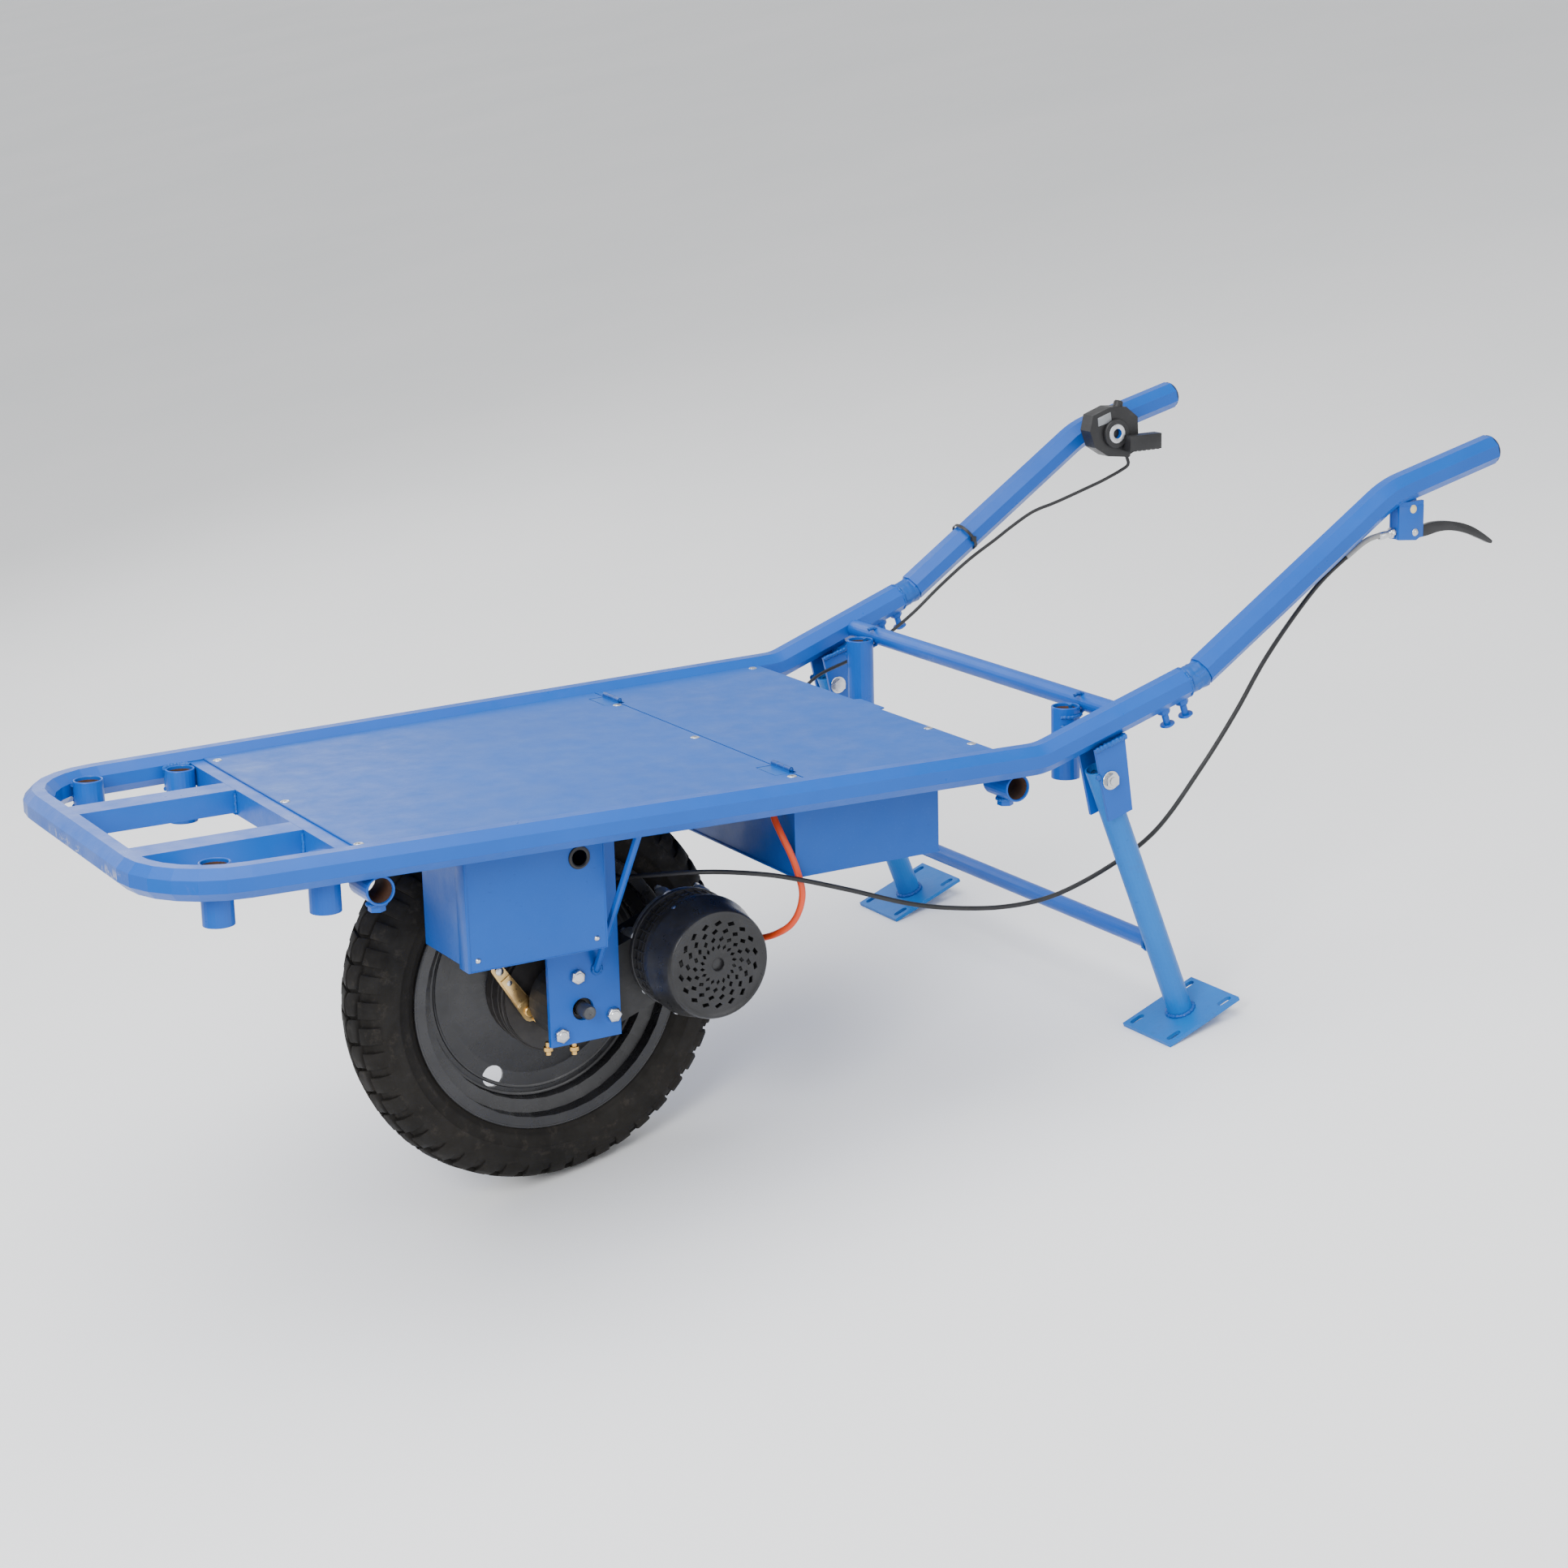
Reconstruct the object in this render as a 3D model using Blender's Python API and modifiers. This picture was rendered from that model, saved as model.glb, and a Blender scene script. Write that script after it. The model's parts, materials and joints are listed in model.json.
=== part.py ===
"""Electric flat-bed barrow with one driven wheel, a bent-tube frame and a folding stand.

Everything is laid out in the machine's own frame: X forward from the wheel axle, Y to the operator's
left, Z up from the deck's top face.  The machine empty then tips that frame nose-up, so that the tyre
and the foot plates stand on the ground at Z = 0.
"""
import math

import bmesh
import bpy
from mathutils import Matrix, Vector

# ---------------------------------------------------------------- driving dimensions (metres)
GAP = 0.0003                      # between neighbouring pieces
TYRE_R, TYRE_HALF = 0.250, 0.049
AXLE_Z = -0.277                   # axle centre below the deck's top face
TUBE, WALL = 0.0366, 0.002        # octagonal frame tube, across flats
RAIL_Y, TAPER = 0.287, 0.059      # rail centre line: y = RAIL_Y - TAPER * x
RAIL_Z = -0.009
FRONT_X, CORNER_R = 0.5452, 0.102
BEND_X, BEND_R, RISE = -0.533, 0.080, 0.330
MOUTH_X = -0.742
SHEET = 0.002
DECK_FRONT, SEAM_X, DECK_REAR = 0.3155, -0.237, -0.494
BAR_Y, BAR_W, BAR_H = 0.107, 0.040, 0.028
CROSS_H = 0.0245                  # the cross members are a little shallower, clear of the sockets
STRIP_TOP = -SHEET - GAP          # top of everything that carries the deck
PLATE_Y, PLATE_T = 0.1273, 0.006  # dropout plates: inner face, thickness
MODULE, PRESSURE, SLACK = 0.0025, math.radians(25.0), 0.00015   # gear teeth; slack per flank
STAGES = ((30, 10), (31, 10), (30, 10))   # wheel and pinion teeth, from the axle to the motor
CENTRES = [MODULE * (wheel + pinion) / 2 for wheel, pinion in STAGES]
DRIVE_ANGLE = math.radians(160.4)         # from the axle to the motor shaft, in the XZ plane
MOTOR_AT = (sum(CENTRES) * math.cos(DRIVE_ANGLE), AXLE_Z + sum(CENTRES) * math.sin(DRIVE_ANGLE))
BOX_Y = 0.204                     # near face of the controller box
LEG_Y, LEG_R, LEG_RAKE = 0.3205, 0.016, math.radians(21.0)
PIVOT = Vector((-0.622, LEG_Y, -0.045))
LEG_L = 0.347                     # pivot to foot plate
FOOT = (0.058, 0.049, 0.005)      # half length, half width, thickness
BEND2 = Vector((-1.0545, 0.336, 0.261))
TIP = Vector((-1.2183, 0.3381, 0.3012))
THROTTLE_AT = Vector((-1.074, -0.268, 0.2655))
LEVER_AT = Vector((-1.090, 0.338, 0.209))
ARM_AT = Vector((0.041, 0.072, -0.291))
HINGE_Z = 0.0035
OCT = math.cos(math.pi / 8)

PAINT = ((0.003, 0.10, 0.52, 1), 0.38, 0.0)
DECK_PAINT = ((0.006, 0.12, 0.50, 1), 0.45, 0.0)
RUBBER = ((0.012, 0.012, 0.012, 1), 0.85, 0.0)
BLACK_STEEL = ((0.012, 0.012, 0.014, 1), 0.40, 0.0)
STEEL = ((0.55, 0.56, 0.57, 1), 0.35, 1.0)
CAST = ((0.28, 0.28, 0.28, 1), 0.55, 1.0)
ZINC = ((0.62, 0.45, 0.20, 1), 0.35, 1.0)
BLACK_PLASTIC = ((0.012, 0.012, 0.012, 1), 0.45, 0.0)
NAVY_PLASTIC = ((0.006, 0.02, 0.08, 1), 0.45, 0.0)
RED_PLASTIC = ((0.60, 0.04, 0.01, 1), 0.45, 0.0)
ALUMINIUM = ((0.45, 0.46, 0.47, 1), 0.40, 1.0)


# ---------------------------------------------------------------- scene, empties and materials
for old in list(bpy.data.objects):
    bpy.data.objects.remove(old)
PARTS = bpy.data.collections.new("power_wheelbarrow")
CUTTERS = bpy.data.collections.new("cutters")
for group in (PARTS, CUTTERS):
    bpy.context.scene.collection.children.link(group)


def rail_y(x):
    return RAIL_Y - TAPER * x


def rail_z(x):
    return RAIL_Z + RISE * max(0.0, BEND_X - x)


def leg_down():
    return Vector((-math.sin(LEG_RAKE), 0.0, -math.cos(LEG_RAKE)))


def nose_up_angle():
    """Angle between the deck and the ground that touches the tyre and the foot plates' front edges."""
    edge = PIVOT + leg_down() * (LEG_L + FOOT[2])
    edge += Vector((math.cos(LEG_RAKE), 0.0, -math.sin(LEG_RAKE))) * FOOT[0]
    back, drop = -edge.x, AXLE_Z - edge.z
    return math.asin(TYRE_R / math.hypot(back, drop)) - math.atan2(drop, back)


PITCH = nose_up_angle()


def world_x(x, z):
    """World X of a machine point, before the offset that centres the object."""
    return x * math.cos(PITCH) - (z - AXLE_Z) * math.sin(PITCH)


def centring_offset():
    """Half way between the front tube's foremost corner and the end of the grips."""
    grip = (TIP - BEND2).normalized()
    end = TIP + grip * 0.0093
    front = world_x(FRONT_X, RAIL_Z) + TUBE / 2 / OCT * math.cos(math.pi / 8 - PITCH)
    return -(front + world_x(end.x, end.z)) / 2


def empty(name, at, parent=None):
    made = bpy.data.objects.new(name, None)
    PARTS.objects.link(made)
    made.empty_display_size = 0.05
    made.parent = parent
    made.location = at
    return made


LIFT = TYRE_R - AXLE_Z * math.cos(PITCH)
MACHINE = empty("machine", (centring_offset() + AXLE_Z * math.sin(PITCH), 0.0, LIFT))
MACHINE.rotation_euler = (0.0, -PITCH, 0.0)
AXES = {
    "machine": Vector((0, 0, 0)),
    "wheel_axis": Vector((0, 0, AXLE_Z)),
    "motor_axis": Vector((MOTOR_AT[0], 0, MOTOR_AT[1])),
    "first_gear_axis": Vector((CENTRES[0] * math.cos(DRIVE_ANGLE), 0,
                               AXLE_Z + CENTRES[0] * math.sin(DRIVE_ANGLE))),
    "second_gear_axis": Vector((sum(CENTRES[:2]) * math.cos(DRIVE_ANGLE), 0,
                                AXLE_Z + sum(CENTRES[:2]) * math.sin(DRIVE_ANGLE))),
    "stand_axis": Vector((PIVOT.x, 0, PIVOT.z)),
    "lid_axis": Vector((SEAM_X, 0, HINGE_Z)),
    "lever_axis": LEVER_AT,
    "arm_axis": ARM_AT,
    "paddle_axis": THROTTLE_AT,
    "left_slide": Vector((MOUTH_X, rail_y(MOUTH_X), rail_z(MOUTH_X))),
    "right_slide": Vector((MOUTH_X, -rail_y(MOUTH_X), rail_z(MOUTH_X))),
}
PIVOTS = {"machine": MACHINE}
for axis_name, axis_at in AXES.items():
    if axis_name != "machine":
        PIVOTS[axis_name] = empty(axis_name, axis_at, MACHINE)


def material(name, look):
    colour, rough, metal = look
    made = bpy.data.materials.new(name + "_mat")
    made.use_nodes = True
    shader = made.node_tree.nodes["Principled BSDF"]
    shader.inputs["Base Color"].default_value = colour
    shader.inputs["Roughness"].default_value = rough
    shader.inputs["Metallic"].default_value = metal
    made.diffuse_color = colour
    return made


def part(name, mesh, look, at=(0, 0, 0), axis="machine", turn=None):
    """A named piece: its mesh, its place in the machine frame, and the empty that it hangs from."""
    mesh.name = name
    made = bpy.data.objects.new(name, mesh)
    PARTS.objects.link(made)
    mesh.materials.clear()
    mesh.materials.append(material(name, look))
    made.parent = PIVOTS[axis]
    made.location = Vector(at) - AXES[axis]
    if turn is not None:
        made.rotation_mode = "QUATERNION"
        made.rotation_quaternion = turn
    mesh.shade_smooth()
    mesh.set_sharp_from_angle(angle=math.radians(30))
    return made


def tool(mesh, at=(0, 0, 0), turn=None, axis="machine"):
    """A hidden shape that cuts or joins a piece."""
    made = bpy.data.objects.new("tool", mesh)
    CUTTERS.objects.link(made)
    made.hide_render = True
    made.display_type = "WIRE"
    made.parent = PIVOTS[axis]
    made.location = Vector(at) - AXES[axis]
    if turn is not None:
        made.rotation_mode = "QUATERNION"
        made.rotation_quaternion = turn
    return made


def boolean(piece, other, operation):
    step = piece.modifiers.new(operation.lower(), "BOOLEAN")
    step.operation = operation
    step.solver = "EXACT"
    step.object = other


def cut(piece, *others):
    for other in others:
        boolean(piece, other, "DIFFERENCE")


def join(piece, *others):
    for other in others:
        boolean(piece, other, "UNION")


# ---------------------------------------------------------------- shapes
def block(size):
    bm = bmesh.new()
    bmesh.ops.create_cube(bm, size=1.0, matrix=Matrix.Diagonal((*size, 1.0)))
    mesh = bpy.data.meshes.new("block")
    bm.to_mesh(mesh)
    bm.free()
    return mesh


def span(x0, x1, y0, y1, z0, z1):
    """A block between two corners: its mesh and its centre."""
    return block((x1 - x0, y1 - y0, z1 - z0)), ((x0 + x1) / 2, (y0 + y1) / 2, (z0 + z1) / 2)


AIM_Y = Vector((0, 0, 1)).rotation_difference(Vector((0, 1, 0)))


def rod(radius, length, sides=24):
    """A round or hexagonal bar along its own Z."""
    bm = bmesh.new()
    bmesh.ops.create_cone(bm, cap_ends=True, segments=sides, radius1=radius, radius2=radius, depth=length)
    mesh = bpy.data.meshes.new("rod")
    bm.to_mesh(mesh)
    bm.free()
    return mesh


def mesh_of(curve_object):
    """The curve's solid as a mesh, with its caps welded on."""
    graph = bpy.context.evaluated_depsgraph_get()
    graph.update()
    mesh = bpy.data.meshes.new_from_object(curve_object.evaluated_get(graph))
    data = curve_object.data
    bpy.data.objects.remove(curve_object)
    bpy.data.curves.remove(data)
    bm = bmesh.new()
    bm.from_mesh(mesh)
    bmesh.ops.remove_doubles(bm, verts=bm.verts, dist=0.00001)
    bmesh.ops.recalc_face_normals(bm, faces=bm.faces)
    bm.to_mesh(mesh)
    bm.free()
    return mesh


def poly_curve(points, dimensions):
    data = bpy.data.curves.new("outline", "CURVE")
    data.dimensions = dimensions
    spline = data.splines.new("POLY")
    spline.points.add(len(points) - 1)
    for target, source in zip(spline.points, points):
        target.co = (*source, 1.0) if len(source) == 3 else (*source, 0.0, 1.0)
    made = bpy.data.objects.new("outline", data)
    bpy.context.scene.collection.objects.link(made)
    return made, data, spline


def sweep(points, radius, resolution=2, flat_top=False):
    """A bar of round or octagonal section along a list of points."""
    made, data, spline = poly_curve([Vector(point) for point in points], "3D")
    data.bevel_depth = radius
    data.bevel_resolution = resolution
    data.use_fill_caps = True
    data.twist_mode = "Z_UP"
    if flat_top:
        for point in spline.points:
            point.tilt = math.pi / 8
    return mesh_of(made)


def sheet(outline, thickness, upright=False):
    """A flat outline with a thickness: in XY, or in XZ when upright."""
    made, data, spline = poly_curve(outline, "2D")
    spline.use_cyclic_u = True
    data.fill_mode = "BOTH"
    data.extrude = thickness / 2
    mesh = mesh_of(made)
    if upright:
        mesh.transform(Matrix.Rotation(math.pi / 2, 4, "X"))
    return mesh


def turned(profile, closed=True):
    """A profile of (radius, height) points; on the outer side it runs from top to bottom."""
    bm = bmesh.new()
    verts = [bm.verts.new((radius, 0.0, height)) for radius, height in profile]
    for first, second in zip(verts, verts[1:]):
        bm.edges.new((first, second))
    if closed:
        bm.edges.new((verts[-1], verts[0]))
    mesh = bpy.data.meshes.new("profile")
    bm.to_mesh(mesh)
    bm.free()
    return mesh


def turn_profile(piece, steps=32):
    screw = piece.modifiers.new("turned", "SCREW")
    screw.steps = steps
    screw.render_steps = steps
    screw.use_merge_vertices = True
    screw.merge_threshold = 0.00001
    screw.use_smooth_shade = True
    return piece


def rounded(corners, radii, steps=6):
    """A path through corners, each turned into an arc of its radius."""
    path = [Vector(corners[0])]
    for index in range(1, len(corners) - 1):
        before, corner, after = (Vector(corners[index + step]) for step in (-1, 0, 1))
        inward, outward = (before - corner).normalized(), (after - corner).normalized()
        half = inward.angle(outward) / 2
        reach = radii[index - 1] / math.tan(half)
        centre = corner + (inward + outward).normalized() * (radii[index - 1] / math.sin(half))
        start, end = corner + inward * reach - centre, corner + outward * reach - centre
        for step in range(steps + 1):
            path.append(centre + start.slerp(end, step / steps) * start.length)
            path[-1] = centre + (path[-1] - centre).normalized() * radii[index - 1]
    path.append(Vector(corners[-1]))
    return path


def arc(centre, radius, start, end, steps):
    """Points on an arc, with angles in degrees."""
    points = []
    for step in range(steps + 1):
        angle = math.radians(start + (end - start) * step / steps)
        points.append((centre[0] + radius * math.cos(angle), centre[1] + radius * math.sin(angle)))
    return points


def extended(path, length):
    """The same path, longer at both ends, for a bore that cuts right through."""
    first = path[0] + (path[0] - path[1]).normalized() * length
    last = path[-1] + (path[-1] - path[-2]).normalized() * length
    return [first, *path[1:-1], last]


def mirrored(points):
    return [Vector((point[0], -point[1], point[2])) for point in points]


SIDES = (("left", 1), ("right", -1))


# ---------------------------------------------------------------- frame
def frame_path():
    left = [(MOUTH_X, rail_y(MOUTH_X), rail_z(MOUTH_X)), (BEND_X, rail_y(BEND_X), RAIL_Z),
            (FRONT_X, rail_y(FRONT_X), RAIL_Z)]
    corners = left + [tuple(point) for point in reversed(mirrored(left))]
    return rounded(corners, (BEND_R, CORNER_R, CORNER_R, BEND_R))


def build_frame():
    path = frame_path()
    loop = part("frame_loop", sweep(path, TUBE / 2 / OCT, flat_top=True), PAINT)
    bore = sweep(extended(path, 0.01), (TUBE / 2 - WALL) / OCT, flat_top=True)
    cut(loop, tool(bore))

    def between_rails(name, x0, x1, z0, z1):
        half = rail_y(x1) - TUBE / 2 - 0.0012
        mesh, at = span(x0, x1, -half, half, z0, z1)
        bar = part(name, mesh, PAINT, at)
        inner, at = span(x0 + WALL, x1 - WALL, -half - 0.01, half + 0.01, z0 + WALL, z1 - WALL)
        cut(bar, tool(inner, at))
        return bar

    deep = between_rails("front_cross_member", 0.2950, 0.3350, STRIP_TOP - 0.0310, STRIP_TOP)
    for sign in (1, -1):
        inside, outside = sorted((sign * 0.212, sign * 0.262))
        notch, at = span(0.2850, 0.3450, inside, outside, -0.0400, STRIP_TOP - CROSS_H)
        cut(deep, tool(notch, at))
    between_rails("seam_cross_member", -0.2570, -0.2320, STRIP_TOP - CROSS_H, STRIP_TOP)
    between_rails("rear_cross_member", -0.4880, -0.4630, STRIP_TOP - CROSS_H, STRIP_TOP)

    half = rail_y(-0.655) - TUBE / 2 - 0.0012
    tube = part("rear_cross_tube", rod(0.012, 2 * half), PAINT, (-0.655, 0, 0.0295), turn=AIM_Y)
    cut(tube, tool(rod(0.010, 2 * half + 0.02), (-0.655, 0, 0.0295), AIM_Y))

    for side, sign in SIDES:
        for kind, x0, x1 in (("front_bar", 0.3353, FRONT_X - TUBE / 2 - 0.0005), ("deck_beam", -0.2317, 0.2947)):
            mesh, at = span(x0, x1, sign * BAR_Y - BAR_W / 2, sign * BAR_Y + BAR_W / 2,
                            STRIP_TOP - BAR_H, STRIP_TOP)
            bar = part(side + "_" + kind, mesh, PAINT, at)
            inner, at = span(x0 - 0.01, x1 + 0.01, sign * BAR_Y - BAR_W / 2 + WALL,
                             sign * BAR_Y + BAR_W / 2 - WALL, STRIP_TOP - BAR_H + WALL, STRIP_TOP - WALL)
            cut(bar, tool(inner, at))


POCKET_R, POCKET_BORE = 0.018, 0.0155


def build_pockets():
    """Upright pockets for stakes, inside the rails and against the rear cross tube."""
    front_y = rail_y(0.472) - TUBE / 2 - POCKET_R - 0.0072
    mid_y = rail_y(0.3535) - TUBE / 2 - POCKET_R - 0.0012
    places = (("front", 0.472, front_y, -0.0665, 0.003), ("mid", 0.3535, mid_y, -0.069, -0.004),
              ("rear", -0.6246, 0.243, -0.062, 0.028))
    for side, sign in SIDES:
        for kind, x, y, z0, z1 in places:
            at = (x, sign * y, (z0 + z1) / 2)
            pocket = part(side + "_" + kind + "_pocket", rod(POCKET_R, z1 - z0), PAINT, at)
            cut(pocket, tool(rod(POCKET_BORE, z1 - z0 + 0.02), at))


SOCKET_R, SOCKET_BORE, SOCKET_L = 0.017, 0.0145, 0.050


def build_sockets():
    """Level sockets welded under the rails, open to the sides, each with a nut for a clamping screw."""
    z = RAIL_Z - TUBE / 2 - GAP - SOCKET_R
    for side, sign in SIDES:
        for kind, x, mouth, inward in (("front", 0.304, 0.268, 0.014), ("rear", -0.508, 0.309, 0.027)):
            at = (x, sign * (mouth - SOCKET_L / 2), z)
            socket = part(side + "_" + kind + "_socket", rod(SOCKET_R, SOCKET_L), PAINT, at, turn=AIM_Y)
            nut = (x, sign * (mouth - inward), z - SOCKET_R - 0.002)
            join(socket, tool(rod(0.010, 0.014, sides=6), nut))
            cut(socket, tool(rod(SOCKET_BORE, SOCKET_L + 0.02), at, AIM_Y))


# ---------------------------------------------------------------- deck and lid
HINGES = (("left", 0.212), ("right", -0.230))
NOTCH, DEEP = 0.0235, (0.022, 0.0055)     # half length along the seam; depth in the deck and in the lid


def deck_edge(x):
    return rail_y(x) - TUBE / 2 - 0.0010


def seam_edge(x, step):
    """The seam from right to left, stepped back by a distance round each hinge."""
    points = [(x, -deck_edge(x))]
    for _, y in sorted(HINGES, key=lambda hinge: hinge[1]):
        low, high, deep = y - NOTCH, y + NOTCH, x + step
        points += [(x, low), (deep, low), (deep, high), (x, high)]
    return points + [(x, deck_edge(x))]


def build_deck():
    front = [(DECK_FRONT, deck_edge(DECK_FRONT)), (DECK_FRONT, -deck_edge(DECK_FRONT))]
    outline = seam_edge(SEAM_X + 0.001, DEEP[0]) + front
    part("front_deck_plate", sheet(outline, SHEET), DECK_PAINT, (0, 0, -SHEET / 2))
    hasp = [(DECK_REAR, 0.017), (DECK_REAR - 0.009, 0.014), (DECK_REAR - 0.009, -0.044), (DECK_REAR, -0.047)]
    rear = [(DECK_REAR, deck_edge(DECK_REAR)), *hasp, (DECK_REAR, -deck_edge(DECK_REAR))]
    outline = [(x - SEAM_X, y) for x, y in seam_edge(SEAM_X - 0.001, -DEEP[1]) + rear]
    part("battery_lid", sheet(outline, SHEET), DECK_PAINT, (SEAM_X, 0, -SHEET / 2), "lid_axis")
    for side, y in HINGES:
        barrel = part(side + "_lid_hinge", rod(0.003, 0.044, sides=12), DECK_PAINT, (SEAM_X, y, HINGE_Z),
                      turn=AIM_Y)
        leaf, at = span(SEAM_X + 0.0010, SEAM_X + 0.0215, y - 0.0220, y + 0.0220, -0.0018, -0.0002)
        join(barrel, tool(leaf, at))
        riser, at = span(SEAM_X + 0.0010, SEAM_X + 0.0030, y - 0.0215, y + 0.0215, -0.0010, HINGE_Z)
        join(barrel, tool(riser, at))


# ---------------------------------------------------------------- battery and controller
def open_box(name, x0, x1, y0, y1, z0, z1, wall, look, open_side):
    """A sheet box with one side open; open_side is +Z, +Y or -Y."""
    mesh, at = span(x0, x1, y0, y1, z0, z1)
    box = part(name, mesh, look, at)
    low = Vector((x0 + wall, y0 + wall, z0 + wall))
    high = Vector((x1 - wall, y1 - wall, z1 - wall))
    axis = "XYZ".index(open_side[1])
    if open_side[0] == "+":
        high[axis] += wall + 0.01
    else:
        low[axis] -= wall + 0.01
    inner, at = span(low.x, high.x, low.y, high.y, low.z, high.z)
    cut(box, tool(inner, at))
    return box


def build_battery():
    box = open_box("battery_box", -0.4620, -0.2575, -0.203, 0.203, -0.141, -0.0045, 0.0015, PAINT, "+Z")
    aim_x = Vector((0, 0, 1)).rotation_difference(Vector((1, 0, 0)))
    cut(box, tool(rod(0.0055, 0.02, 16), (-0.2582, 0.172, -0.058), aim_x))
    cut(box, tool(rod(0.0045, 0.02, 16), (-0.4613, -0.185, -0.045), aim_x))
    mesh, at = span(-0.450, -0.275, -0.185, 0.165, -0.139, -0.040)
    part("battery_pack", mesh, BLACK_PLASTIC, at)


def build_controller():
    top = STRIP_TOP - BAR_H - GAP
    open_box("controller_box", 0.0020, 0.1730, 0.076, BOX_Y - 0.0020, -0.1790, top, 0.0015, PAINT, "+Y")
    cover = open_box("controller_cover", 0.0, 0.1750, 0.186, BOX_Y, -0.1810, top + 0.0020, 0.0015, PAINT, "-Y")
    cut(cover, tool(rod(0.0125, 0.03), (0.031, BOX_Y, -0.067), AIM_Y))
    slot, at = span(0.050, 0.130, 0.170, BOX_Y + 0.01, top - 0.0006, top + 0.01)
    cut(cover, tool(slot, at))
    mesh, at = span(0.020, 0.155, 0.079, 0.150, -0.170, -0.075)
    part("motor_controller", mesh, ALUMINIUM, at)


# ---------------------------------------------------------------- dropouts and drive
BOLTS = ((0.006, -0.235), (-0.040, -0.291), (0.030, -0.304))


def build_dropouts():
    narrow, wide, low = -0.0045, 0.044, -0.318
    stepped = [(-0.050, -0.004), (-0.050, low), (wide, low), (wide, -0.1835), (narrow, -0.1835),
               (narrow, -0.004)]
    straight = [(-0.050, -0.004), (-0.050, low), (wide, low), (wide, -0.004)]
    for side, sign in SIDES:
        outline = stepped if sign > 0 else straight
        y = sign * (PLATE_Y + PLATE_T / 2)
        plate = part(side + "_dropout", sheet(outline, PLATE_T, upright=True), PAINT, (0, y, 0))
        bore = 0.014 if sign > 0 else 0.0092
        cut(plate, tool(rod(bore, 0.03), (0, y, AXLE_Z), AIM_Y))
        face = PLATE_Y + PLATE_T
        top = Vector((-0.012, sign * 0.2720, RAIL_Z - TUBE / 2 - 0.0035))
        foot = Vector((-0.020, sign * (face - 0.0020), -0.232))
        join(plate, tool(sweep([top, foot], 0.0045)))


def gear_outline(teeth, facing):
    """Involute teeth; facing is the angle that one tooth points at."""
    pitch = MODULE * teeth / 2
    base = pitch * math.cos(PRESSURE)
    points = []
    for index in range(teeth):
        middle = facing + 2 * math.pi * index / teeth
        flank = []
        for radius in (pitch - 1.05 * MODULE, pitch, pitch + 0.8 * MODULE):
            turn = math.acos(min(1.0, base / radius))
            lean = math.tan(PRESSURE) - PRESSURE - math.tan(turn) + turn
            flank.append((radius, math.pi / (2 * teeth) - SLACK / pitch + lean))
        for radius, half in flank:
            points.append((radius * math.cos(middle - half), radius * math.sin(middle - half)))
        for radius, half in reversed(flank):
            points.append((radius * math.cos(middle + half), radius * math.sin(middle + half)))
    return points


def gear(teeth, facing, y0, y1):
    mesh = sheet(gear_outline(teeth, facing), y1 - y0, upright=True)
    mesh.transform(Matrix.Translation((0, (y0 + y1) / 2, 0)))
    return mesh


def build_gears(axle, rotor):
    """Three pairs of spur gears between the motor shaft and the axle."""
    back = DRIVE_ANGLE + math.pi
    gap = [DRIVE_ANGLE + math.pi / wheel for wheel, _ in STAGES]
    join(axle, tool(gear(STAGES[0][0], gap[0], 0.0870, 0.0960), AXES["wheel_axis"], axis="wheel_axis"))
    levels = ((0.0850, 0.0970, 0.1000, 0.1080), (0.0990, 0.1090, 0.1110, 0.1180))
    for index, name in enumerate(("first", "second")):
        low0, low1, high0, high1 = levels[index]
        axis = name + "_gear_axis"
        at = AXES[axis]
        pair = part(name + "_reduction_gear", gear(STAGES[index + 1][0], gap[index + 1], high0, high1),
                    STEEL, at, axis)
        join(pair, tool(gear(STAGES[index][1], back, low0, low1), at, axis=axis))
        join(pair, tool(rod(0.0060, 0.0424, 16), at + Vector((0, 0.1020, 0)), AIM_Y, axis))
    at = AXES["motor_axis"]
    join(rotor, tool(gear(STAGES[2][1], back, 0.1105, 0.1190), at, axis="motor_axis"))


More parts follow.
